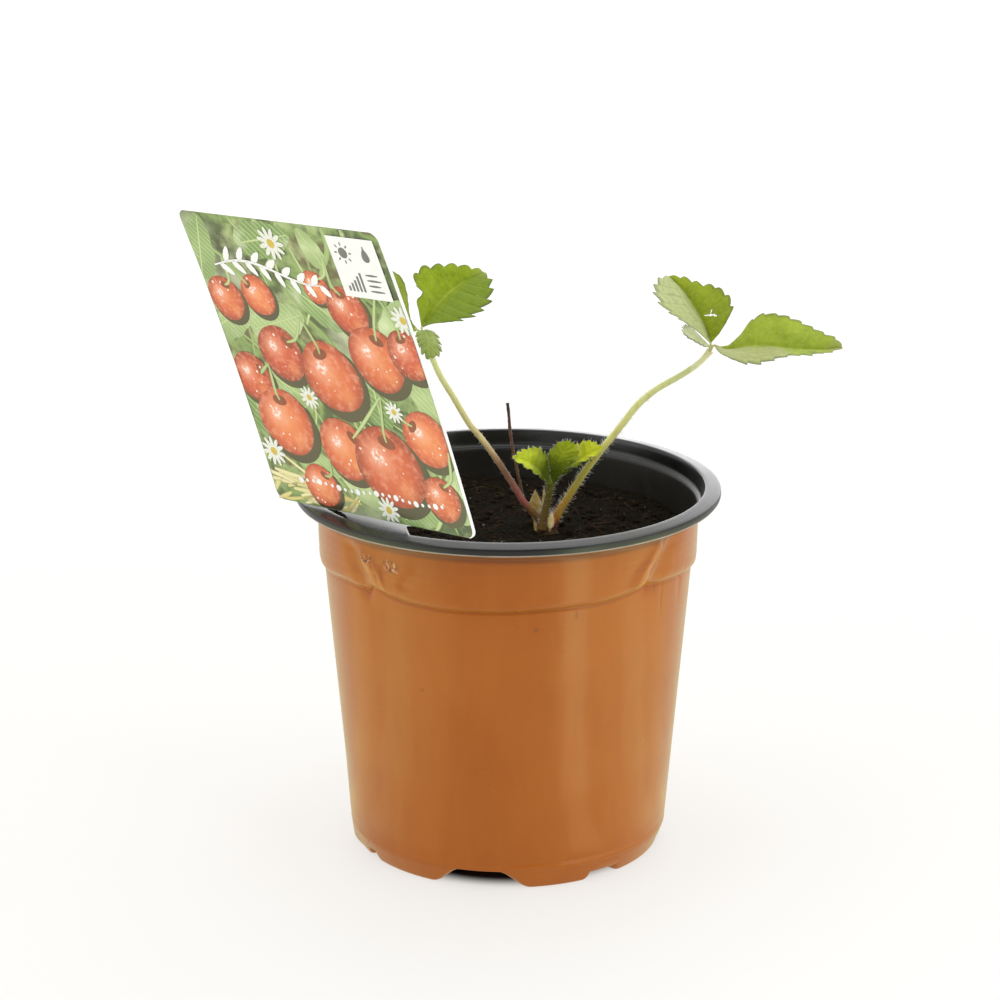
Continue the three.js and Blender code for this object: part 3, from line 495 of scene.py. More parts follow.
def pot():
    b = Build()
    seg = 288
    # (r, z, material) outside from the crease up, round the rim, down the inside; material of the strip after it
    OUT, BLK, EDG, TOP, SIDE, INN = 0, 1, 2, 3, 4, 5
    prof = [(46.8, 6.05, OUT), (48.8, 6.1, OUT), (49.2, 6.25, OUT), (49.42, 6.6, OUT), (49.5, 7.2, OUT), (49.46, 7.7, OUT), (49.3, 8.05, OUT),
            (49.1, 8.3, OUT), (49.06, 8.5, OUT), (49.12, 8.8, OUT), (49.3, 9.3, OUT), (49.42, 9.9, OUT)]
    for k in np.linspace(0, 1, 26)[1:-1]:
        prof.append((49.42 + (56.2 - 49.42) * k, 9.9 + (88.0 - 9.9) * k, OUT))
    prof += [(56.2, 87.9, OUT), (56.2, 88.3, OUT), (56.16, 88.62, OUT), (56.1, 88.88, OUT), (56.08, 89.05, OUT), (56.12, 89.22, OUT),
             (56.28, 89.4, OUT), (56.54, 89.65, OUT), (56.88, 90.02, OUT), (57.25, 90.5, OUT),
             (57.58, 90.95, OUT), (57.82, 91.6, OUT), (57.93, 92.5, OUT)]
    for k in np.linspace(0, 1, 16)[1:-1]:
        prof.append((57.93 + 0.42 * k, 92.6 + (106.6 - 92.6) * k, OUT))
    prof += [(58.4, 106.8, OUT), (58.5, 107.3, OUT), (58.75, 107.8, OUT), (59.3, 108.4, OUT), (60.2, 109.35, OUT), (60.9, 109.9, OUT), (61.6, 110.05, BLK),
             (62.8, 110.25, BLK), (63.5, 110.3, EDG), (64.1, 110.42, EDG), (64.5, 110.68, EDG), (64.62, 111.0, SIDE), (64.9, 111.25, SIDE), (65.0, 111.55, SIDE),
             (65.0, 112.3, SIDE), (64.97, 112.75, SIDE), (64.82, 113.0, TOP), (64.5, 113.14, TOP), (63.3, 113.34, TOP),
             (61.8, 113.62, TOP), (60.7, 113.8, TOP), (60.35, 113.76, TOP), (60.12, 113.55, BLK), (60.02, 113.3, BLK), (59.8, 112.3, BLK),
             (59.55, 110.3, BLK), (59.4, 109.4, BLK), (59.2, 108.9, BLK), (58.8, 108.6, BLK), (58.3, 108.42, SIDE), (57.95, 108.25, SIDE), (57.74, 107.95, INN), (57.64, 107.4, INN)]
    for k in np.linspace(0, 1, 10)[1:]:
        prof.append((57.64 - 0.52 * k, 107.4 + (92.2 - 107.4) * k, INN))
    prof += [(56.95, 91.4, INN), (55.6, 88.7, INN), (55.4, 88.0, INN)]
    for k in np.linspace(0, 1, 8)[1:]:
        prof.append((55.4 - 6.9 * k, 88.0 - 79.4 * k, INN))
    prof += [(47.6, 7.6, INN), (40.4, 7.6, INN), (40.4, 6.6, OUT), (46.8, 6.55, OUT)]
    ang = set(np.round(np.linspace(-180, 180, seg, endpoint=False), 3))  # from the front towards +X, finer at the creases
    for d0, d1 in ((-54, -30), (36, 58)):
        ang |= set(np.round(np.arange(d0, d1, 0.25), 3))
    ang = np.radians(np.array(sorted(ang)))
    seg = len(ang)
    P = np.array([[p[0], p[1]] for p in prof])
    v = np.zeros((len(P), seg, 3))
    r = np.repeat(P[:, :1], seg, 1)
    z = np.repeat(P[:, 1:], seg, 1)
    outside = np.array([p[2] == OUT for p in prof])[:, None]
    deg = np.degrees((ang + math.pi) % (2 * math.pi) - math.pi)[None]
    body = smoothstep(7, 12, z) * (1 - smoothstep(106.0, 106.8, z))
    # a thin formed wall is never quite true
    wob = 0.16 * np.sin(2 * ang[None] + 0.6) + 0.10 * np.sin(3 * ang[None] + z * 0.03 + 1.9) + 0.05 * np.sin(5 * ang[None] + z * 0.05)
    r = r + wob * smoothstep(8, 30, z) * (1 - smoothstep(104, 109, z))
    # dents and short creases pressed in the collar
    for d0, z0, z1, wl, wr, depth, slant in (
            (-42.6, 90.5, 105.5, 1.3, 2.6, 0.70, -0.395), (-46.6, 88.0, 107.0, 3.6, 2.2, -1.05, -0.395),
            (-40.6, 92.0, 103.0, 0.8, 1.3, 0.45, -0.26), (-40.4, 95.5, 106.0, 1.3, 1.2, -0.45, 0.30), (-33.0, 93.5, 106.0, 1.6, 3.6, -0.50, 0.5),
            (41.8, 90.5, 109.0, 2.8, 1.5, 0.78, 0.486), (46.4, 88.0, 109.0, 2.2, 5.0, -0.85, 0.486), (37.0, 92.0, 106.0, 3.2, 2.4, -0.18, 0.486),
            (54.2, 84.5, 89.5, 0.5, 0.9, -0.4, 0.0),
            (66.0, 85.0, 93.0, 0.7, 0.8, -0.45, 0.0), (128, 92, 106, 0.7, 2.0, -0.6, 0.2), (-140, 92, 105, 1.8, 0.6, -0.6, -0.15)):
        x = (deg - d0 - slant * (z - z0)) * math.radians(1) * 58.0 + 0.45 * np.sin(z * 0.62 + d0) + 0.2 * np.sin(z * 1.7 + 2 * d0)
        g = np.where(x < 0, np.exp(-(x / wl) ** 2), np.exp(-(x / wr) ** 2))
        win = smoothstep(z0 - 1.5, z0 + 1.2, z) * (1 - smoothstep(z1 - 4.5, z1 + 1.0, z))
        r = r + depth * g * win * (r > 55.2)
    # the ridge over the feet is crisp at the front and nearly gone at the sides
    flat = 48.62 + (z - 0.0) * 0.0835
    keep = 0.06 + 0.70 * np.exp(-((deg - 26) / 32.0) ** 2)
    r = np.where((z > 6.5) & (z < 10.0) & outside, flat + (r - flat) * keep, r)
    # faint forming rings on the body
    r = r + 0.035 * np.sin(z * 2.1) * body * outside
    # the step under the collar runs a little high across the front, and is pushed up beside the creases
    lift = np.interp(deg, [-180, -95, -80, -73, -64, -57, -50.5, -47.6, -45.2, -42.3, -38.2, -34.4, -30.8, -27.4, -20.8, -14.5, -2.5, 3.4, 9.4, 15.5, 28.5, 33.8,
                           37.6, 41.6, 45.9, 48.2, 53.3, 59.2, 66.7, 80, 95, 180],
                     [0, 0, 0.3, 0.8, 2.1, 2.7, 2.6, 2.3, 4.1, 3.9, 2.9, 2.4, 1.9, 1.8, 1.45, 1.45, 1.6, 1.75, 2.1, 2.3, 2.4, 2.9,
                      3.4, 4.1, 4.3, 4.2, 3.7, 3.2, 2.3, 0.4, 0, 0])
    zz = z + lift * smoothstep(74, 88.4, z) * (1 - smoothstep(92.0, 106.0, z))
    v[..., 0] = r * np.sin(ang)[None]
    v[..., 1] = -r * np.cos(ang)[None]
    v[..., 2] = zz
    faces = grid_faces(len(P), seg, wrap=True)
    mats = np.repeat([p[2] for p in prof[:-1]], seg)
    at = np.stack([z / 100, np.broadcast_to(deg / 100, z.shape), np.zeros_like(z)], 2)
    b.add(v.reshape(-1, 3), faces, list(mats), at.reshape(-1, 3))
    # feet: rounded blocks of the formed base, wider above than on the ground; a narrow gap is only a low notch
    feet = [(-58, -27), (6, 31), (44, 75), (87, 110), (122, 153), (186, 211), (224, 255), (267, 297)]
    blocks = []
    for k, (a0, a1) in enumerate(feet):
        gap0 = (a0 - feet[k - 1][1]) % 360
        gap1 = (feet[(k + 1) % len(feet)][0] - a1) % 360
        blocks.append((a0, a1, 8.0 if gap0 > 20 else 3.0, 8.0 if gap1 > 20 else 3.0,
                       [(0.0, 0.75, 1.5, 0.0), (0.05, 0.45, 0.95, 0.0), (0.25, 0.16, 0.5, 0.03), (0.6, 0.03, 0.18, 0.08), (1.2, 0.0, 0.0, 0.2), (3.2, 0.0, 0.0, 0.54),
                        (5.0, 0.0, 0.0, 0.86), (5.9, 0.0, 0.0, 1.1), (6.5, 0.0, 0.0, 1.4), (7.0, 0.12, 0.1, 1.5)]))
        if gap1 <= 20:
            blocks.append((a1 - 2, a1 + gap1 + 2, 0.0, 0.0, [(2.6, 0.6, 0.3, 0.0), (2.75, 0.2, 0.1, 0.0), (3.1, 0.0, 0.0, 0.0), (5.0, 0.0, 0.0, 0.0), (7.0, 0.12, 0.1, 0.0)]))
    for a0, a1, s0, s1, levels in blocks:
        loops = []
        for zz, inset, inset_a, grow in levels:
            zf = zz / 6.0
            ro, ri = 47.0 + 2.15 * min(zf, 1.03) - inset, 40.8 - 1.3 * zf + inset
            b0 = a0 - s0 * grow + math.degrees(inset_a / 45)
            b1 = a1 + s1 * grow - math.degrees(inset_a / 45)
            rad = 1.5
            pts = []
            half_w, half_r = math.radians(b1 - b0) / 2 * 44.5, (ro - ri) / 2
            for cx, cy, q in ((1, 1, 0), (-1, 1, 1), (-1, -1, 2), (1, -1, 3)):
                for w in np.linspace(0, math.pi / 2, 7):
                    th = q * math.pi / 2 + w
                    pts.append((cx * (half_w - rad) + rad * math.cos(th), cy * (half_r - rad) + rad * math.sin(th)))
            dense = []
            for i in range(len(pts)):
                p, q2 = pts[i], pts[(i + 1) % len(pts)]
                n = 14 if abs(p[0] - q2[0]) > 5 else 1
                for w in range(n):
                    dense.append((p[0] + (q2[0] - p[0]) * w / n, p[1] + (q2[1] - p[1]) * w / n))
            mid = math.radians((b0 + b1) / 2)
            loop = []
            for aa, rr in dense:
                th = mid + aa / 44.5
                # the ring is a little out of round at the left
                out = 1.3 * smoothstep(-70, -84, math.degrees((th + math.pi) % (2 * math.pi) - math.pi)) * (1 - min(zf, 1.0)) if rr > 0 else 0.0
                loop.append(((rr + out + (ro + ri) / 2) * math.sin(th), -(rr + out + (ro + ri) / 2) * math.cos(th), zz))
            loops.append(loop)
        n = len(loops[0])
        v = np.array(loops).reshape(-1, 3)
        f = grid_faces(len(loops), n, wrap=True)
        f = [q[::-1] for q in f]
        f.append(tuple(range(n)))
        b.add(v, f, OUT, np.array([[q[2] / 100, 0.9, 0] for q in v]))
    ob = b.make("pot_shell", [terracotta(), black_plastic(), cut_edge(), rim_top(), rim_side(), inner_wall()], "pot", "pot_plastic", attr_name="pot")
    # the floor plate with its drain holes
    bpy.ops.mesh.primitive_cylinder_add(vertices=96, radius=40.6 * MM, depth=1.0 * MM, location=(AXIS[0], AXIS[1], 7.1 * MM))
    plate = bpy.context.object
    cutters = []
    for i in range(6):
        a = 2 * math.pi * (i + 0.5) / 6
        bpy.ops.mesh.primitive_cylinder_add(vertices=32, radius=4.2 * MM, depth=6 * MM,
                                            location=(AXIS[0] + 33 * MM * math.cos(a), AXIS[1] + 33 * MM * math.sin(a), 7 * MM))
        cutters.append(bpy.context.object)
    for c in cutters:
        md = plate.modifiers.new("hole", "BOOLEAN")
        md.operation, md.object, md.solver = "DIFFERENCE", c, "EXACT"
    bpy.context.view_layer.update()
    dg = bpy.context.evaluated_depsgraph_get()
    me = bpy.data.meshes.new_from_object(plate.evaluated_get(dg))
    me.transform(plate.matrix_world)
    me.materials.clear()
    me.materials.append(ob.data.materials[0])
    holes = bpy.data.objects.new("pot_floor", me)
    bpy.context.scene.collection.objects.link(holes)
    for o in cutters + [plate]:
        bpy.data.objects.remove(o)
    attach(holes, "root")
    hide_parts("pot")
    return ob


# ------------------------------------------------------------------------ soil
def fbm(x, y, z=0.0, scale=1.0, octaves=3):
    s, a, tot = 0.0, 1.0, 0.0
    f = 1.0 / scale
    for _ in range(octaves):
        s += a * noise.noise(Vector((x * f, y * f, z + f)))
        tot += a
        a *= 0.5
        f *= 2.1
    return s / tot


def soil_height(x, y):
    r = math.hypot(x, y)
    k = min(1.0, (r / 56.8)) ** 2
    z = 98.5 + (97.8 - 98.5) * k
    z += 1.9 * fbm(x, y, 3.1, 14, 2) + 1.2 * fbm(x, y, 9.7, 4.2, 3)
    z += 0.8 * max(0, fbm(x, y, 17.0, 1.7, 2))
    # the peat sits a little higher at the back wall and is pressed down by the crown
    z += 1.2 * smoothstep(30, 56, y) - 0.9 * math.exp(-((x - 11.5) ** 2 + (y - 2.2) ** 2) / 60)
    return float(z)


def soil():
    b = Build()
    nr, na = 78, 300
    rr = 56.75 * (np.linspace(0, 1, nr + 1)[1:] ** 0.9)
    ang = np.linspace(0, 2 * math.pi, na, endpoint=False)
    v = []
    for r in rr:
        for a in ang:
            x, y = r * math.cos(a), r * math.sin(a)
            v.append((x, y, soil_height(x, y)))
    f = grid_faces(nr, na, wrap=True, flip=True)
    c = len(v)
    v.append((0, 0, soil_height(0, 0)))
    f += [(c, j, (j + 1) % na) for j in range(na)]
    b.add(v, f, 0)
    # the hidden side and bottom of the peat block
    side = [(56.75, 97.2), (56.3, 96.2), (54.4, 94.6), (53.9, 88.1), (48.0, 8.9), (47.2, 7.95), (0.5, 7.95)]
    n2 = 72
    a2 = np.linspace(0, 2 * math.pi, n2, endpoint=False)
    v = [(r * math.cos(a), r * math.sin(a), z) for r, z in side for a in a2]
    b.add(v, grid_faces(len(side), n2, wrap=True, flip=True), 0)
    # crumbs
    phi = (1 + 5**0.5) / 2
    ico = np.array([(-1, phi, 0), (1, phi, 0), (-1, -phi, 0), (1, -phi, 0), (0, -1, phi), (0, 1, phi), (0, -1, -phi), (0, 1, -phi),
                    (phi, 0, -1), (phi, 0, 1), (-phi, 0, -1), (-phi, 0, 1)], float)
    ico /= np.linalg.norm(ico[0])
    icf = [(0, 11, 5), (0, 5, 1), (0, 1, 7), (0, 7, 10), (0, 10, 11), (1, 5, 9), (5, 11, 4), (11, 10, 2), (10, 7, 6), (7, 1, 8),
           (3, 9, 4), (3, 4, 2), (3, 2, 6), (3, 6, 8), (3, 8, 9), (4, 9, 5), (2, 4, 11), (6, 2, 10), (8, 6, 7), (9, 8, 1)]
    vv, ff, cache = list(map(np.array, ico)), [], {}

    def half(i, j):
        k = (min(i, j), max(i, j))
        if k not in cache:
            p = vv[i] + vv[j]
            vv.append(p / np.linalg.norm(p))
            cache[k] = len(vv) - 1
        return cache[k]

    for i, j, k in icf:
        a, c2, d = half(i, j), half(j, k), half(k, i)
        ff += [(i, a, d), (j, c2, a), (k, d, c2), (a, c2, d)]
    ball = np.array(vv)
    for k in range(640):
        r = 55.5 * math.sqrt(RNG.random())
        a = RNG.random() * 2 * math.pi
        x, y = r * math.cos(a), r * math.sin(a)
        if math.hypot(x - 11.5, y - 2.2) < 6:
            continue
        size = 0.35 + 1.15 * RNG.random() ** 2.2
        sc = np.array([1, 0.6 + 0.4 * RNG.random(), 0.5 + 0.4 * RNG.random()]) * size
        rot = RNG.random() * math.pi
        p = ball * sc * (1 + 0.22 * np.array([noise.noise(Vector(q * 1.7 + k)) for q in ball]))[:, None]
        p = p @ np.array([[math.cos(rot), math.sin(rot), 0], [-math.sin(rot), math.cos(rot), 0], [0, 0, 1]])
        b.add(p + [x, y, soil_height(x, y) + size * 0.15], ff, 1 if RNG.random() < 0.7 else 2)
    # fibres and bits of bark
    for k in range(620):
        r = 55 * math.sqrt(RNG.random())
        a = RNG.random() * 2 * math.pi
        x, y = r * math.cos(a), r * math.sin(a)
        d, turn = RNG.random() * 2 * math.pi, (RNG.random() - 0.5) * 0.8
        ln = 2.5 + 10 * RNG.random() ** 2
        pts = []
        lift = 0.25 + 0.5 * RNG.random()
        n = 7
        for i in range(n):
            pts.append((x, y, soil_height(x, y) + 0.15 + lift * math.sin(math.pi * i / (n - 1))))
            x += math.cos(d) * ln / n
            y += math.sin(d) * ln / n
            d += turn
            if math.hypot(x, y) > 55.8:
                break
        if len(pts) < 4:
            continue
        rad = 0.07 + 0.13 * RNG.random() ** 2
        mat = 3 if RNG.random() < 0.70 else (4 if RNG.random() < 0.90 else 5)
        tube(b, pts, [rad * (1 - 0.6 * abs(2 * i / (len(pts) - 1) - 1)) for i in range(len(pts))], 4, mat)
    # pale grains
    for k in range(36):
        r, a = 54 * math.sqrt(RNG.random()), RNG.random() * 2 * math.pi
        x, y = r * math.cos(a), r * math.sin(a)
        s = 0.16 + 0.22 * RNG.random()
        b.add(ico * s + [x, y, soil_height(x, y) + 0.25], icf, 5)
    mats = [peat("peat", (0.0048, 0.0042, 0.0027), (0.0225, 0.0175, 0.0100)),
            peat("peat_crumb", (0.006, 0.0045, 0.003), (0.030, 0.021, 0.013)),
            peat("peat_crumb_brown", (0.018, 0.011, 0.006), (0.055, 0.034, 0.018)),
            peat("fibre_dark", (0.022, 0.012, 0.006), (0.066, 0.036, 0.016)),
            peat("fibre_tan", (0.050, 0.031, 0.015), (0.125, 0.080, 0.040)),
            peat("grain_pale", (0.14, 0.12, 0.085), (0.32, 0.28, 0.21))]
    return b.make("peat_surface", mats, "potting_soil", "peat")


# ---------------------------------------------------------------------- leaves
LEAFLETS = {
    "leaflet_left_1": ([[-26.0, -2.2, 162.9], [-23.8, -0.5, 166.2], [-19.7, 1.5, 171.0], [-14.5, 3.0, 175.2], [-7.3, 4.2, 178.7]],
        [[-26.0, -2.2, 162.9], [-26.8, -1.8, 167.4], [-27.4, -0.6, 171.2], [-25.7, 0.2, 173.0], [-27.4, 1.2, 175.0], [-28.1, 2.6, 177.5], [-26.2, 4.0, 179.8], [-22.3, 5.0, 180.3], [-18.4, 5.0, 180.6], [-14.8, 5.0, 180.5], [-10.9, 4.6, 179.9], [-7.3, 4.2, 178.7]],
        [[-26.0, -2.2, 162.9], [-23.2, -3.5, 164.3], [-18.3, -5.0, 165.5], [-13.8, -6.0, 166.5], [-10.2, -6.0, 167.8], [-7.4, -5.0, 169.7], [-5.6, -3.2, 171.9], [-5.2, -1.0, 174.6], [-5.6, 1.8, 176.9], [-7.3, 4.2, 178.7]], 7, 1.5),
    "leaflet_left_2": ([[-26.0, -3.4, 162.3], [-24.9, -8.0, 163.3], [-23.9, -13.0, 162.2], [-23.4, -16.0, 159.9], [-23.1, -17.0, 157.6]],
        [[-26.0, -3.4, 162.3], [-27.2, -6.0, 162.6], [-27.4, -10.0, 162.1], [-26.7, -13.5, 160.5], [-25.6, -16.0, 159.0], [-24.4, -17.0, 157.7], [-23.1, -17.0, 157.6]],
        [[-26.0, -3.4, 162.3], [-23.4, -4.5, 162.9], [-21.4, -7.0, 162.2], [-20.4, -9.5, 160.4], [-20.2, -12.5, 158.7], [-21.3, -15.5, 157.5], [-23.1, -17.0, 157.6]], 5, 1.2),
    "leaflet_left_3": ([[-27.1, -1.2, 161.9], [-29.9, 1.5, 163.8], [-33.0, 4.5, 167.5], [-36.3, 7.5, 172.0], [-39.4, 9.5, 177.4]],
        [[-27.1, -1.2, 161.9], [-30.2, 0.0, 160.8], [-34.4, 0.5, 161.9], [-38.6, 1.0, 165.5], [-41.3, 3.0, 170.0], [-42.0, 6.0, 174.2], [-39.4, 9.5, 177.4]],
        [[-27.1, -1.2, 161.9], [-28.8, 0.5, 163.5], [-29.6, 1.5, 166.0], [-30.2, 2.5, 169.5], [-30.8, 4.0, 172.8], [-31.9, 6.0, 176.1], [-34.5, 8.0, 177.9], [-36.9, 9.0, 178.0], [-39.4, 9.5, 177.4]], 6, 1.3),
    "leaflet_right_1": ([[61.3, 3.4, 156.7], [59.6, 5.5, 161.3], [56.4, 8.5, 166.8], [52.9, 11.0, 171.7], [48.7, 13.0, 175.4]],
        [[61.3, 3.4, 156.7], [57.9, 1.5, 160.1], [54.0, -0.5, 163.6], [49.5, -1.5, 166.9], [46.0, -0.5, 169.7], [44.6, 2.0, 171.8], [44.5, 6.0, 173.9], [46.0, 10.0, 175.3], [48.7, 13.0, 175.4]],
        [[61.3, 3.4, 156.7], [64.0, 2.5, 160.5], [66.5, 2.5, 165.0], [67.4, 3.5, 168.3], [66.7, 5.0, 170.4], [64.5, 7.0, 172.4], [61.8, 8.5, 173.5], [58.8, 10.0, 173.4], [55.2, 11.5, 174.5], [51.9, 12.5, 175.3], [48.7, 13.0, 175.4]], 7, 1.5),
    "leaflet_right_2": ([[62.1, 1.6, 156.6], [66.5, 0.9, 155.5], [71.7, 0.0, 156.5], [78.3, -1.2, 156.8], [86.3, -2.6, 156.3], [93.8, -3.4, 156.2], [100.6, -3.6, 156.9]],
        [[62.1, 1.6, 156.6], [64.4, 2.6, 156.0], [67.3, 3.4, 156.2], [70.0, 4.2, 159.0], [73.2, 4.9, 163.0], [76.5, 5.5, 165.1], [80.7, 5.5, 165.3], [84.9, 5.0, 164.4], [88.8, 4.0, 163.1], [92.3, 2.5, 161.7], [96.0, 0.4, 160.2], [99.2, -1.6, 159.0], [100.6, -3.6, 156.9]],
        [[62.1, 1.6, 156.6], [63.2, -2.4, 155.8], [65.0, -6.0, 155.2], [67.5, -9.2, 154.8], [70.6, -12.0, 154.7], [74.1, -13.6, 154.9], [77.8, -14.8, 156.0], [81.6, -15.0, 157.2], [86.2, -13.5, 157.3], [90.9, -11.0, 156.9], [95.8, -7.5, 156.7], [100.6, -3.6, 156.9]], 9, 1.3),
    "leaflet_right_3": ([[60.5, 0.2, 156.9], [58.6, -1.8, 158.5], [56.4, -4.0, 160.4], [54.1, -6.4, 162.2], [52.1, -8.0, 163.5]],
        [[60.5, 0.2, 156.9], [58.6, 1.6, 158.8], [56.4, 1.6, 160.9], [54.2, -0.6, 162.9], [52.6, -4.2, 163.7], [52.1, -8.0, 163.5]],
        [[60.5, 0.2, 156.9], [59.3, -6.0, 158.0], [57.2, -10.0, 159.8], [54.8, -13.0, 161.8], [52.9, -12.6, 163.0], [52.1, -8.0, 163.5]], 6, 1.5),
    "leaflet_young_1": ([[12.6, -2.5, 113.9], [9.6, -1.0, 118.0], [6.4, -1.2, 120.5], [3.6, -2.8, 122.1], [1.3, -4.5, 123.0]],
        [[12.6, -2.5, 113.9], [12.3, 0.4, 118.2], [11.4, 1.7, 121.7], [9.7, 1.6, 123.9], [7.4, 0.6, 124.6], [5.1, -0.8, 124.6], [3.0, -2.6, 124.2], [1.3, -4.5, 123.0]],
        [[12.6, -2.5, 113.9], [11.3, -4.0, 115.4], [8.9, -6.2, 117.5], [6.5, -7.5, 119.7], [3.9, -7.4, 121.5], [2.1, -6.2, 122.5], [1.3, -4.5, 123.0]], 8, 0.85),
    "leaflet_young_2": ([[13.9, -0.5, 114.0], [17.2, 1.6, 117.4], [21.4, 1.8, 120.3], [25.3, 1.2, 122.7], [28.8, 0.6, 124.7]],
        [[13.9, -0.5, 114.0], [15.4, 3.4, 117.9], [18.8, 5.0, 121.9], [21.8, 4.4, 124.8], [24.7, 3.0, 125.9], [27.1, 1.8, 125.7], [28.8, 0.6, 124.7]],
        [[13.9, -0.5, 114.0], [15.9, -0.8, 115.0], [19.4, -0.8, 117.9], [23.4, -1.0, 120.4], [26.5, -0.8, 122.1], [28.1, -0.2, 123.5], [28.8, 0.6, 124.7]], 8, 0.85),
    "leaflet_young_3": ([[13.4, -2.3, 113.9], [14.6, -0.1, 118.8], [16.4, 0.2, 122.8], [17.6, 0.4, 125.3], [18.4, 0.6, 126.9]],
        [[13.4, -2.3, 113.9], [12.7, 1.2, 118.2], [12.6, 3.0, 121.0], [13.6, 3.2, 123.5], [15.8, 2.2, 125.7], [18.4, 0.6, 126.9]],
        [[13.4, -2.3, 113.9], [15.4, -3.0, 115.8], [18.6, -3.4, 119.4], [20.8, -3.4, 122.4], [21.4, -2.6, 124.4], [20.5, -1.0, 126.0], [18.4, 0.6, 126.9]], 8, 0.85),
}
STIPULES = {
    "stipule_1": ([[9.3, 2.4, 102.5], [8.5, 2.3, 106.2], [8.3, 2.0, 111.0]],
        [[9.3, 2.4, 102.5], [7.1, 2.8, 103.7], [6.6, 2.4, 106.4], [8.3, 2.0, 111.0]],
        [[9.3, 2.4, 102.5], [10.6, 1.9, 104.0], [10.3, 1.8, 106.7], [8.3, 2.0, 111.0]], 0, 0),
    "stipule_2": ([[12.9, -4.3, 100.2], [13.2, -3.9, 102.8], [13.4, -3.4, 105.6]],
        [[12.9, -4.3, 100.2], [12.2, -3.9, 101.2], [12.5, -3.5, 103.4], [13.4, -3.4, 105.6]],
        [[12.9, -4.3, 100.2], [13.8, -3.9, 101.2], [14.0, -3.5, 103.4], [13.4, -3.4, 105.6]], 0, 0),
    "stipule_3": ([[11.4, 1.4, 102.2], [11.2, 1.2, 106.0], [11.0, 0.9, 112.4]],
        [[11.4, 1.4, 102.2], [10.7, 1.1, 103.6], [10.4, 0.8, 107.0], [11.0, 0.9, 112.4]],
        [[11.4, 1.4, 102.2], [12.3, 1.6, 103.6], [12.0, 1.4, 107.0], [11.0, 0.9, 112.4]], 0, 0),
}
# Blades whose upper face is on the other side of the construction order.
TURNED = {"leaflet_left_2", "leaflet_right_3", "leaflet_young_1"}
# The short stalk of each leaflet starts here, at the end of its petiole.
JOINTS = {"left": [-25.75, -2.4, 161.4], "right": [61.2, 2.9, 154.4], "young": [13.1, -1.0, 114.0]}


def tooth(u, sharp=0.0):
    """Height of one tooth; sharp 0 is a rounded lobe, 1 a pointed tooth that leans forward."""
    u = np.clip(u, 1e-6, 1 - 1e-6)
    lobe = np.power(np.sin(math.pi * np.power(u, 1.25)), 0.7)
    point = np.minimum((u / 0.70) ** 0.85, ((1 - u) / 0.30) ** 0.9)
    return lobe * (1 - sharp) + point * sharp


START_T = 0.26


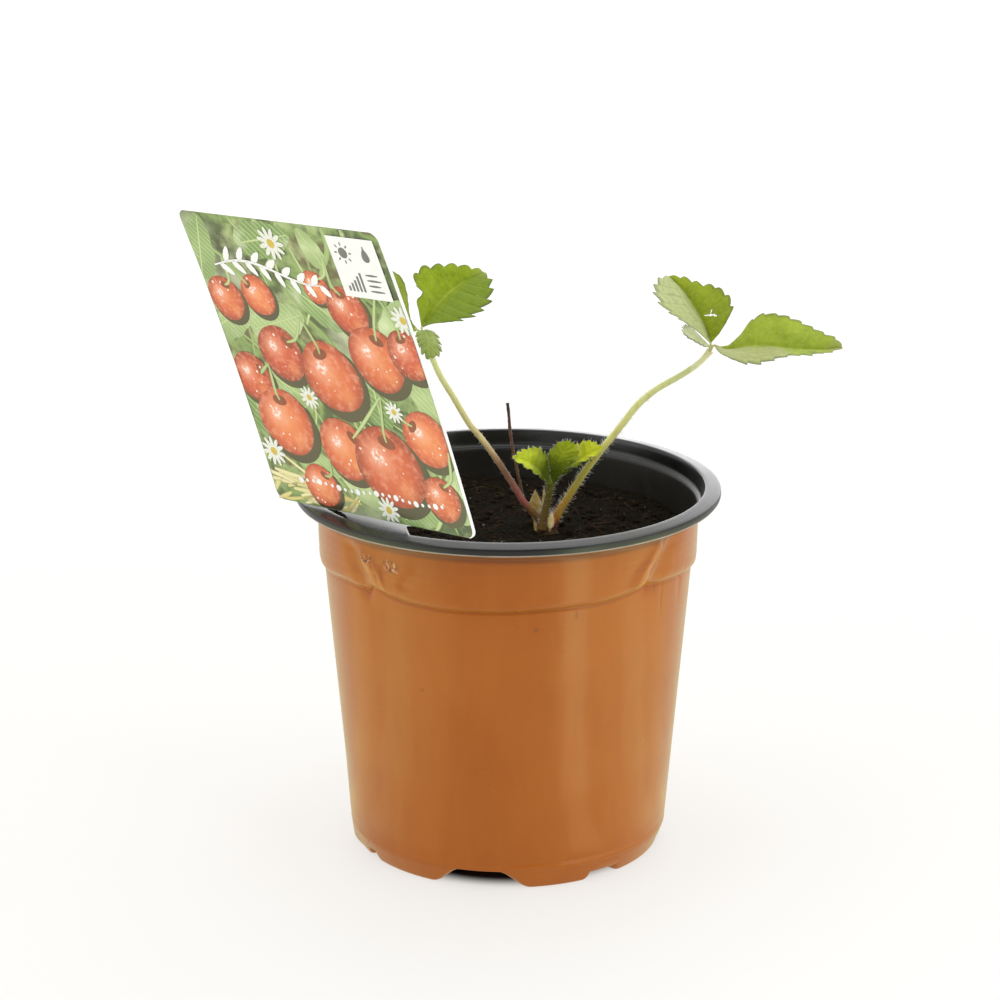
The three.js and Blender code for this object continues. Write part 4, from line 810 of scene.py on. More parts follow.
def blade(name, data, rows=150, across=16, thick=0.24, vein_depth=0.22, wave=0.25, cup=0.5, hairs=0, hair_len=1.0,
          mats=None, slot=None, stalk_mat=2, stalk_r=0.42, seed=0, sharp=(0.8, 0.8), bite=(1.0, 1.0), curl=0.0, ruffle=0.0, tears=()):
    mid_p, a_p, b_p, teeth, depth = data
    flip = name in TURNED
    mid, sides = Curve(mid_p), (Curve(a_p), Curve(b_p))
    t = np.linspace(0, 1, rows)
    t = 0.5 * t + 0.5 * (1 - (1 - t) ** 1.25)
    m = mid.at(t**1.2)
    s = np.linspace(-1, 1, 2 * across + 1)
    s = np.sign(s) * np.abs(s) ** 0.9
    grid = np.zeros((rows, len(s), 3))
    phase = (t - START_T) / (1 - START_T) * max(teeth, 1) - 0.58
    edges = []
    for k, c in enumerate(sides):
        e = c.at(t)
        if teeth:
            out = e - m
            ln = np.maximum(np.linalg.norm(out, axis=1, keepdims=True), 1e-6)
            u = np.clip((t - START_T) / (1 - START_T), 0, 1) * teeth
            tt = np.where(t > START_T, tooth(u % 1, sharp[k]), 0)
            size = bite[k] * depth * (0.82 + 0.36 * np.abs(np.sin(np.floor(u) * 2.3 + k + seed)))
            fade = smoothstep(0.0, 0.05, 1 - t)
            e = e + out / ln * (size * (tt - 0.5 * smoothstep(START_T, START_T + 0.04, t)) * fade)[:, None]
            e = e + c.tangent(t) * (size * (0.34 + 0.45 * sharp[k]) * tt * fade)[:, None]
        edges.append(e)
    for j, q in enumerate(s):
        e = edges[0] if q < 0 else edges[1]
        grid[:, j] = m + (e - m) * abs(q)

    def normals(g):
        du = np.gradient(g, axis=1)
        dv = np.gradient(g, axis=0)
        n = np.cross(du, dv)
        ln = np.linalg.norm(n, axis=2, keepdims=True)
        n = n / np.maximum(ln, 1e-9)
        n[ln[..., 0] < 1e-7] = 0
        n[0], n[-1] = n[1], n[-2]
        return n

    up = normals(grid) * (-1 if flip else 1)
    # halves keep their own normal next to the fold
    width = np.linalg.norm(grid[:, -1] - m, axis=1) + np.linalg.norm(grid[:, 0] - m, axis=1)
    grow = np.minimum(1, width / 6)[:, None]
    S = np.abs(s)[None]
    veins = 0.5 - np.abs((phase + 100.5) % 1 - 0.5)[:, None] * np.ones_like(S)
    d = np.minimum(veins, 1)  # 0 at the middle between veins .. 0.5 at a vein
    at_vein = np.exp(-((0.5 - d) / 0.11) ** 2)
    pillow = 1 - np.exp(-((0.5 - d) / 0.16) ** 2)
    hgt = vein_depth * (pillow - 0.55) * np.minimum(1, S * 4) * (1 - 0.45 * S) * grow
    hgt = hgt - 0.16 * np.exp(-((S * width[:, None] / 2) / 0.55) ** 2) * grow
    hgt = hgt + cup * 4 * S * (1 - S) * np.minimum(1, width / 14)[:, None]
    rip = np.zeros((rows, len(s)))
    for i in range(rows):
        for j in range(0, len(s)):
            p = grid[i, j]
            rip[i, j] = noise.noise(Vector((p[0] * 0.16 + seed, p[1] * 0.16, p[2] * 0.16))) * wave * 1.6 + 0.05 * noise.noise(Vector(p * 0.95))
    hgt = hgt + rip * np.minimum(1, S * 1.5) * grow
    # the margin rolls and ruffles
    hgt = hgt + (curl + ruffle * np.sin(phase * math.pi)[:, None]) * S**3 * grow
    grid = grid + up * hgt[..., None]
    up = normals(grid) * (-1 if flip else 1)
    up[:, across] = up[:, across - 1] + up[:, across + 1]
    up /= np.maximum(np.linalg.norm(up, axis=2, keepdims=True), 1e-9)
    th = thick * (1 - 0.55 * S**4)[..., None] * np.minimum(1, 0.4 + width / 5)[:, None, None]
    top, bot = grid + up * th / 2, grid - up * th / 2
    # the midrib stands out below
    rib = 0.55 * np.exp(-((S * width[:, None] / 2) / 0.42) ** 2) * (1 - 0.75 * t)[:, None] * grow
    bot = bot - up * (rib + 0.12 * at_vein * np.minimum(1, S * 6) * (1 - S) * grow)[..., None]
    b = Build()
    attr = np.stack([np.broadcast_to(s, (rows, len(s))), np.broadcast_to(phase[:, None], (rows, len(s))), np.broadcast_to(t[:, None], (rows, len(s)))], 2)
    cols = len(s)
    n = rows * cols
    f_top = grid_faces(rows, cols, flip=flip)
    # tears: short slits (side, length) -> (side, length) with a half width, cut right through
    f_tear = []
    if tears:
        gone = set()
        for i in range(rows - 1):
            for j in range(cols - 1):
                c = (grid[i, j] + grid[i + 1, j + 1]) / 2
                for (s0, t0), (s1, t1), w in tears:
                    ends = []
                    for ss, tt in ((s0, t0), (s1, t1)):
                        x, y = np.interp(ss, s, np.arange(cols)), np.interp(tt, t, np.arange(rows))
                        ends.append(grid[int(round(y)), int(round(x))])
                    d = ends[1] - ends[0]
                    u = min(1.0, max(0.0, float((c - ends[0]) @ d) / max(float(d @ d), 1e-9)))
                    if np.linalg.norm(c - ends[0] - u * d) < w * (0.65 + 0.35 * math.sin(9 * u + i)):
                        gone.add((i, j))
        f_top = [q for k, q in enumerate(f_top) if (k // (cols - 1), k % (cols - 1)) not in gone]
        for i, j in gone:
            a, b2, c2, d2 = i * cols + j, i * cols + j + 1, (i + 1) * cols + j + 1, (i + 1) * cols + j
            for x, y, ni, nj in ((a, b2, i - 1, j), (b2, c2, i, j + 1), (c2, d2, i + 1, j), (d2, a, i, j - 1)):
                if (ni, nj) not in gone:
                    f_tear.append((x, y, y + n, x + n))
    f_bot = [tuple(i + n for i in q[::-1]) for q in f_top]
    rim = [i * cols for i in range(rows)], [i * cols + cols - 1 for i in range(rows)]
    f_edge = []
    for i in range(rows - 1):
        a0, a1 = rim[0][i], rim[0][i + 1]
        q = (a0, a1, a1 + n, a0 + n)
        f_edge.append(q if not flip else q[::-1])
        a0, a1 = rim[1][i], rim[1][i + 1]
        q = (a1, a0, a0 + n, a1 + n)
        f_edge.append(q if not flip else q[::-1])
    b.add(np.concatenate([top.reshape(-1, 3), bot.reshape(-1, 3)]), f_top + f_bot + f_edge + f_tear,
          [0] * len(f_top) + [1] * len(f_bot) + [0] * len(f_edge) + [1] * len(f_tear), np.concatenate([attr.reshape(-1, 3)] * 2))
    key = name.split("_")[1] if name.startswith("leaflet") else None
    if key:
        j0 = np.array(JOINTS[key])
        p0 = np.array(mid_p[0])
        p1 = m[int(rows * 0.10)]
        c = Curve([j0, (j0 + p0) / 2 + [0, 0, 0.1], p0, p1], 60).at(np.linspace(0, 1, 14))
        tube(b, c, np.linspace(stalk_r, stalk_r * 0.55, 14), 10, stalk_mat)
    if hairs:
        for k in range(hairs):
            side = 0 if RNG.random() < 0.5 else 1
            tt = 0.08 + 0.9 * RNG.random()
            i = min(rows - 2, int(np.searchsorted(t, tt)))
            j = 0 if side == 0 else cols - 1
            if RNG.random() < 0.30:
                j = int(RNG.integers(1, cols - 1))
                p = bot[i, j]
                dirn = (p - grid[i, j]) / max(np.linalg.norm(p - grid[i, j]), 1e-6)
                dirn = dirn * 0.6 + (grid[min(i + 3, rows - 1), j] - grid[i, j]) * 0.8 + RNG.normal(0, 0.15, 3)
            else:
                p = grid[i, j]
                o = grid[i, j] - grid[i, across]
                dirn = o / max(np.linalg.norm(o), 1e-6) + (grid[min(i + 3, rows - 1), j] - grid[i, j]) * 0.5 + RNG.normal(0, 0.25, 3)
            hair(b, p, dirn, hair_len * (0.5 + 0.7 * RNG.random()), 0.032, 3, RNG.normal(0, 0.12, 3))
    return b.make(name + "_blade", mats, name, slot)


STEMS = {
    "petiole_left": ([[10.6, 1.0, 100.2], [9.7, 0.5, 101.7], [7.7, 0.3, 104.0], [5.5, 0.0, 106.6], [1.2, -0.5, 113.8], [-3.4, -1.0, 121.3], [-8.5, -1.5, 128.7],
                      [-11.5, -1.6, 132.5], [-16.95, -2.0, 142.0], [-20.6, -2.2, 148.3], [-23.8, -2.4, 156.1], [-25.75, -2.4, 161.6]], 1.02, 0.88),
    "petiole_right": ([[13.6, 2.0, 100.0], [14.6, 2.0, 102.0], [16.3, 2.2, 105.0], [18.9, 2.5, 109.1], [23.0, 3.0, 115.6], [26.6, 3.3, 120.6], [29.9, 3.5, 125.0],
                       [33.9, 3.6, 130.0], [39.1, 3.6, 137.0], [43.0, 3.6, 140.7], [46.6, 3.6, 143.3], [51.1, 3.6, 145.9], [55.1, 3.4, 148.5],
                       [58.5, 3.2, 151.3], [61.2, 2.9, 154.6]], 1.14, 0.94),
    "petiole_young": ([[10.6, -2.5, 99.6], [10.9, -2.3, 102.4], [11.4, -2.0, 105.4], [12.1, -1.6, 108.6], [12.7, -1.3, 111.7], [13.0, -0.9, 114.0], [13.1, 0.9, 116.2]], 1.15, 1.05),
    "old_stalk": ([[10.4, 4.6, 100.3], [9.4, 5.2, 101.6], [7.6, 5.7, 102.6], [5.6, 6.0, 104.1], [4.6, 6.5, 107.2], [3.7, 7.0, 111.6], [2.5, 7.3, 117.2],
                   [1.5, 7.5, 122.3], [0.9, 7.6, 126.1], [0.5, 7.7, 129.6], [0.2, 7.8, 133.4], [-0.2, 7.9, 136.8]], 0.42, 0.5),
}


def stalk(name, mats, slot, hairs=0, lo=0.0, hi=1.0, hair_len=1.2, flare=0.35, sides=18, lumps=0.05, up=0.5, hair_r=0.046):
    pts, r0, r1 = STEMS[name]
    c = Curve(pts)
    n = max(40, int(c.length * 2.2))
    u = np.linspace(0, 1, n)
    p = c.at(u)
    r = r0 + (r1 - r0) * u**0.8
    r = r + flare * np.exp(-u * c.length / 3.0) + 0.18 * np.exp(-((1 - u) * c.length / 1.6) ** 2) * (name != "old_stalk")
    if name == "petiole_young":
        r = (r + 0.28 * np.exp(-(((1 - u) * c.length - 2.9) / 1.4) ** 2)) * np.clip((1 - u) * c.length / 2.4, 0.12, 1) ** 0.55
    b = Build()
    tube(b, p, r, sides, 0, lumps=lumps, seed=len(name))
    t, nn, bb = frames_along(p)
    for k in range(hairs):
        w = lo + (hi - lo) * RNG.random() ** 1.15
        i = min(n - 1, int(w * n))
        a = RNG.random() * 2 * math.pi
        d = math.cos(a) * nn[i] + math.sin(a) * bb[i]
        if d[1] < -0.45 and RNG.random() < 0.8:
            continue
        base = p[i] + d * r[i] * 0.96
        ln = hair_len * (0.45 + 0.75 * RNG.random())
        hair(b, base, d + t[i] * (up * (0.4 + RNG.random())) + RNG.normal(0, 0.12, 3), ln, hair_r, 1, RNG.normal(0, 0.14, 3))
    return b, p, r, (t, nn, bb)


def hair_mat():
    m = Nodes("silky_hair")
    n1 = m.noise(m.coords(), 500, 2)
    return m.set(color=m.mix(m.maprange(n1, 0.3, 0.7), (0.80, 0.80, 0.74), (0.93, 0.93, 0.90)), rough=0.35, spec=0.5,
                 sss=0.2, sss_radius=(1, 1, 1), sss_scale=0.0004)


def plants():
    hair_m = hair_mat()
    stalk_m = plain("leaflet_stalk", (0.42, 0.46, 0.12), (0.56, 0.56, 0.22), 400, 0.45, 0.4, 0.2, 0.2)
    G0, G1, GV = (0.185, 0.262, 0.0035), (0.300, 0.400, 0.009), (0.40, 0.48, 0.07)
    stalk_y = plain("young_leaflet_stalk", (0.11, 0.15, 0.004), (0.17, 0.22, 0.010), 400, 0.5, 0.2, 0.1, 0.1)
    up_a = leaf("leaf_upper", G0, G1, GV, shade_side=0.7, tip=(0.36, 0.42, 0.12))
    up_dull = leaf("leaf_upper_dull", (0.165, 0.225, 0.034), (0.30, 0.375, 0.080), (0.40, 0.47, 0.15))
    up_strip = leaf("leaf_upper_strip", (0.21, 0.28, 0.02), (0.32, 0.40, 0.04), GV)
    up_pale = leaf("leaf_upper_pale_half", (0.225, 0.290, 0.004), (0.335, 0.415, 0.012), (0.50, 0.55, 0.20), glare_side=-0.88, pale=(0.50, 0.545, 0.27))
    up_pale_b = leaf("leaf_upper_pale_front", (0.235, 0.315, 0.010), (0.350, 0.440, 0.032), (0.48, 0.54, 0.14), glare_side=0.88,
                     pale=(0.42, 0.44, 0.18), pale_end=0.60, tip=(0.33, 0.31, 0.13))
    # painted sheen: this blade is seen at a grazing angle, so its whole upper face is coloured pale for the glare on it
    up_front = leaf("leaf_upper_front", (0.36, 0.39, 0.20), (0.55, 0.58, 0.34), (0.64, 0.66, 0.38), edge_amt=0.9, edge_at=0.78)
    under = leaf("leaf_under", (0.32, 0.38, 0.13), (0.46, 0.52, 0.22), (0.58, 0.62, 0.32), under=True, rough=0.55, edge_amt=0.8, edge_at=0.85)
    # the three young leaflets are lit and shaded copies of one finish, each painted to the light it gets; the middle
    # one, deep in the hollow, is painted darkest
    young_l = leaf("young_upper_left", (0.42, 0.50, 0.020), (0.68, 0.76, 0.055), (0.66, 0.72, 0.12), mottle=0.4, base_shade=(0.075, 0.105, 0.001), edge_amt=0.0, sheen=0.04, spec=0.10, vein_amt=0.12)
    young_m = leaf("young_upper_middle", (0.19, 0.25, 0.004), (0.36, 0.43, 0.012), (0.50, 0.56, 0.06), mottle=0.4, base_shade=(0.065, 0.092, 0.001), edge_amt=0.0, sheen=0.04, spec=0.10, vein_amt=0.12)
    young_r = leaf("young_upper_right", (0.52, 0.57, 0.014), (0.74, 0.79, 0.050), (0.74, 0.78, 0.12), mottle=0.4, base_shade=(0.11, 0.145, 0.002), edge_amt=0.0, sheen=0.04, spec=0.10, vein_amt=0.12)
    young_un = leaf("young_under", (0.30, 0.38, 0.012), (0.52, 0.60, 0.045), (0.60, 0.66, 0.14), under=True)
    std = dict(slot="leaf_green", vein_depth=0.15)
    blade("leaflet_left_1", LEAFLETS["leaflet_left_1"], mats=[up_a, under, stalk_m, hair_m], seed=1, hairs=90, hair_len=0.45, sharp=(0.15, 1.0), bite=(0.9, 1.25), **std)
    blade("leaflet_left_2", LEAFLETS["leaflet_left_2"], mats=[up_dull, under, stalk_m, hair_m], seed=2, rows=110, hairs=120, hair_len=0.7, cup=0.7, sharp=(0.6, 0.9), **std)
    blade("leaflet_left_3", LEAFLETS["leaflet_left_3"], mats=[up_strip, under, stalk_m, hair_m], seed=3, rows=120, hairs=60, hair_len=0.45, bite=(1.0, 0.15), **std)
    blade("leaflet_right_1", LEAFLETS["leaflet_right_1"], mats=[up_pale, under, stalk_m, hair_m], seed=4, rows=250, across=34, hairs=100, hair_len=0.45, sharp=(1.0, 0.4), bite=(1.15, 0.75),
          tears=(((0.15, 0.41), (0.44, 0.34), 0.36), ((0.34, 0.365), (0.39, 0.41), 0.30)), **std)
    blade("leaflet_right_2", LEAFLETS["leaflet_right_2"], mats=[up_pale_b, under, stalk_m, hair_m], seed=5, rows=190, hairs=100, hair_len=0.45, sharp=(0.6, 1.0), bite=(0.6, 1.2), **std)
    blade("leaflet_right_3", LEAFLETS["leaflet_right_3"], mats=[up_front, under, stalk_m, hair_m], seed=6, rows=110, hairs=80, hair_len=0.5, sharp=(0.6, 1.0), **std)
    yg = dict(slot="leaf_young", hairs=230, hair_len=0.85, rows=110, vein_depth=0.16, sharp=(0.85, 0.85), bite=(1.15, 1.15))
    blade("leaflet_young_1", LEAFLETS["leaflet_young_1"], mats=[young_l, young_un, stalk_y, hair_m], seed=7, curl=0.5, ruffle=0.35, **{**yg, "bite": (1.15, 0.5)})
    blade("leaflet_young_2", LEAFLETS["leaflet_young_2"], mats=[young_r, young_un, stalk_y, hair_m], seed=8, curl=0.5, ruffle=0.35, **yg)
    blade("leaflet_young_3", LEAFLETS["leaflet_young_3"], mats=[young_m, young_un, stalk_y, hair_m], seed=9, curl=0.4, ruffle=0.3, **yg)

    left = stem("petiole_left_skin", [(0.0, (0.12, 0.065, 0.010)), (0.05, (0.22, 0.125, 0.025)), (0.095, (0.24, 0.10, 0.020)), (0.115, (0.30, 0.09, 0.05)), (0.16, (0.44, 0.115, 0.095)), (0.22, (0.40, 0.15, 0.105)),
                                      (0.30, (0.33, 0.17, 0.095)), (0.36, (0.44, 0.27, 0.14)), (0.44, (0.58, 0.46, 0.21)), (0.52, (0.68, 0.58, 0.24)), (0.66, (0.64, 0.62, 0.24)), (0.88, (0.69, 0.73, 0.31)), (0.93, (0.42, 0.50, 0.14)), (1.0, (0.40, 0.48, 0.14))], speck=(0.34, 0.14, 0.08))
    right = stem("petiole_right_skin", [(0.0, (0.24, 0.06, 0.04)), (0.03, (0.46, 0.15, 0.03)), (0.08, (0.56, 0.30, 0.04)), (0.16, (0.56, 0.44, 0.06)),
                                        (0.28, (0.68, 0.62, 0.13)), (0.42, (0.76, 0.73, 0.22)), (0.55, (0.80, 0.80, 0.30)), (0.8, (0.66, 0.69, 0.30)), (0.86, (0.62, 0.67, 0.30)), (0.93, (0.82, 0.86, 0.48)), (0.98, (0.84, 0.80, 0.44)),
                                        (1.0, (0.74, 0.66, 0.34))], speck=(0.46, 0.34, 0.07))
    young = stem("petiole_young_skin", [(0.0, (0.17, 0.095, 0.020)), (0.13, (0.16, 0.090, 0.014)), (0.32, (0.13, 0.098, 0.014)), (0.6, (0.105, 0.092, 0.008)), (0.82, (0.14, 0.145, 0.009)), (1.0, (0.13, 0.17, 0.004))])
    dead = stem("dead_stalk_skin", [(0.0, (0.10, 0.06, 0.03)), (0.3, (0.15, 0.10, 0.055)), (0.45, (0.19, 0.105, 0.05)), (0.62, (0.16, 0.08, 0.04)),
                                    (0.8, (0.10, 0.048, 0.03)), (1.0, (0.028, 0.016, 0.012))])
    b, *_ = stalk("petiole_left", None, None, hairs=360, lo=0.0, hi=1.0, hair_len=0.75, flare=0.5)
    b.make("petiole_left_stem", [left, hair_m], "petiole_left", "petiole_green")
    b, *_ = stalk("petiole_right", None, None, hairs=800, lo=0.02, hi=0.70, hair_len=1.45, flare=0.75, hair_r=0.052)
    b.make("petiole_right_stem", [right, hair_m], "petiole_right", "petiole_green")
    b, *_ = stalk("petiole_young", None, None, hairs=210, lo=0.1, hi=0.96, hair_len=1.4, flare=0.45)
    b.make("petiole_young_stem", [young, hair_m], "petiole_young", "petiole_green")
    b, *_ = stalk("old_stalk", None, None, hairs=60, hair_len=0.5, flare=0.1, lumps=0.25)
    b.make("old_stalk_stem", [dead, hair_m], "old_stalk", "dead_stalk")

    tan = plain("stipule_skin", (0.70, 0.48, 0.11), (1.0, 0.86, 0.42), 620, 0.6, 0.25, 0.5, 0.1)
    for k, name in enumerate(STIPULES):
        blade(name, STIPULES[name], rows=60, across=8, thick=0.16, vein_depth=0.08, wave=0.2, cup=0.5, hairs=70, hair_len=0.8,
              mats=[tan, tan, tan, hair_m], slot="stipule_scale", seed=11 + k)
    # crown: knobbly rootstock with the stumps of older stalks, and the main roots below
    b = Build()
    pts = np.array([[11.5, 2.2, z] for z in np.linspace(74, 101.6, 40)])
    r = np.interp(pts[:, 2], [74, 78, 86, 92, 96, 98.6, 100.0, 101.0, 101.6], [0.6, 2.3, 3.9, 4.6, 4.1, 3.3, 2.7, 1.8, 0.5])
    tube(b, pts, r, 48, 0, lumps=0.35, seed=3.3)
    # stumps of older stalks and the dry sheaths that wrap the crown
    for k, (a, lean, ln, rad, mt) in enumerate([(-1.9, 0.5, 4.6, 0.95, 1), (-1.15, 0.3, 5.4, 0.85, 1), (-0.35, 1.3, 4.2, 0.8, 2), (0.5, 1.2, 3.4, 0.7, 1), (1.5, 0.8, 4.2, 0.8, 1),
                                                 (2.4, 1.0, 3.6, 0.8, 1), (3.4, 0.9, 4.0, 0.85, 1), (4.0, 0.6, 3.0, 0.7, 2), (-2.6, 0.9, 3.6, 0.8, 1)]):
        base = np.array([11.5 + 2.4 * math.cos(a), 2.2 + 2.4 * math.sin(a), 97.6])
        tip = base + [lean * math.cos(a), lean * math.sin(a), ln]
        tube(b, Curve([base, (base + tip) / 2 + [0.3 * math.cos(a), 0.3 * math.sin(a), 0], tip], 30).at(np.linspace(0, 1, 9)), np.linspace(rad, rad * 0.45, 9), 9, mt, lumps=0.3, seed=k)
    roots = [[[11.5, 2.2, 86], [24, 0, 76], [36, -4, 58], [39, -6, 38]], [[11.5, 2.2, 84], [18, 16, 74], [24, 30, 56], [22, 36, 36]],
             [[11.5, 2.2, 85], [-2, 12, 76], [-16, 24, 58], [-20, 27, 36]], [[11.5, 2.2, 83], [-4, -2, 72], [-22, -2, 54], [-30, -2, 34]],
             [[11.5, 2.2, 82], [15, -10, 70], [18, -26, 52], [16, -32, 32]], [[11.5, 2.2, 80], [10, 3, 62], [6, 6, 42], [8, 4, 22]]]
    for k, q in enumerate(roots):
        tube(b, Curve(q).at(np.linspace(0, 1, 40)), np.linspace(1.7, 0.5, 40), 8, 0, lumps=0.15, seed=k)
    wood = plain("crown_bark", (0.035, 0.018, 0.009), (0.13, 0.070, 0.030), 420, 0.75, 0.2, 0.8)
    scale_m = plain("crown_scale", (0.38, 0.24, 0.06), (0.66, 0.50, 0.20), 520, 0.65, 0.2, 0.5, 0.1)
    red = plain("crown_red_stub", (0.11, 0.02, 0.018), (0.24, 0.06, 0.04), 400, 0.5, 0.3, 0.3)
    b.make("crown_bark_piece", [wood, scale_m, red], "crown_and_roots", "crown_wood")


# ----------------------------------------------------------------------- label
LW, LH = 85.2, 97.7
LO = np.array([-68.99, -13.0, 112.89])
LU, LV, LN = np.array([0.70422, -0.70655, 0.06968]), np.array([-0.23736, -0.1418, 0.96102]), np.array([-0.66913, -0.69331, -0.26757])
BOW, BEND = 0.001065, 0.15


def sheet(s, t, d):
    s, t, d = np.broadcast_arrays(np.asarray(s, float), np.asarray(t, float), np.asarray(d, float))
    a = BOW * np.maximum(t, 0)
    lowt = np.minimum(t, 0)
    p = LO + s[..., None] * LU + (np.sin(a) / BOW + lowt)[..., None] * LV + ((1 - np.cos(a)) / BOW + BEND * lowt)[..., None] * LN
    return p + d[..., None] * (np.cos(a)[..., None] * LN - np.sin(a)[..., None] * LV)


def art(b, s, t, faces, layer, mat, attr):
    """A printed patch on the card: s, t in mm, cut at the card's edge."""
    s, t = np.asarray(s, float), np.asarray(t, float)
    p = sheet(np.clip(s, 0.3, LW - 0.75), np.clip(t, 0.3, LH - 0.3), 0.254 + 0.006 * layer)
    b.add(p, faces, mat, attr)


def disc(b, cs, ct, outline, layer, mat, rings=4, seed=0.0):
    """A filled outline round a centre; outline gives (ds, dt) points in order."""
    o = np.asarray(outline, float)
    n = len(o)
    ks = np.linspace(0, 1, rings + 1)[1:]
    s, t, at = [cs], [ct], [(0, 0, seed)]
    big = np.abs(o).max()
    for k in ks:
        for p in o:
            s.append(cs + p[0] * k)
            t.append(ct + p[1] * k)
            at.append((p[0] * k / big, p[1] * k / big, seed))
    f = [(0, 1 + j, 1 + (j + 1) % n) for j in range(n)]
    for i in range(rings - 1):
        for j in range(n):
            q = (j + 1) % n
            f.append((1 + i * n + j, 1 + (i + 1) * n + j, 1 + (i + 1) * n + q, 1 + i * n + q))
    art(b, s, t, f, layer, mat, np.array(at))


def stroke(b, pts, width, layer, mat, seed=0.0):
    """A tapering line through (s, t) points."""
    c = Curve([[p[0], p[1], 0] for p in pts], 120)
    n = max(6, int(c.length / 1.6))
    u = np.linspace(0, 1, n)
    p, tg = c.at(u), c.tangent(u, 0.02)
    w = width / 2 * (0.35 + 0.65 * np.sin(np.pi * np.clip(u * 0.9 + 0.08, 0, 1)))
    side = np.stack([-tg[:, 1], tg[:, 0]], 1) * w[:, None]
    s = np.concatenate([p[:, 0] - side[:, 0], p[:, 0] + side[:, 0]])
    t = np.concatenate([p[:, 1] - side[:, 1], p[:, 1] + side[:, 1]])
    at = np.stack([np.concatenate([u, u]), np.concatenate([-np.ones(n), np.ones(n)]), np.full(2 * n, seed)], 1)
    f = [(i, i + n, i + n + 1, i + 1) for i in range(n - 1)]
    art(b, s, t, [q[::-1] for q in f], layer, mat, at)


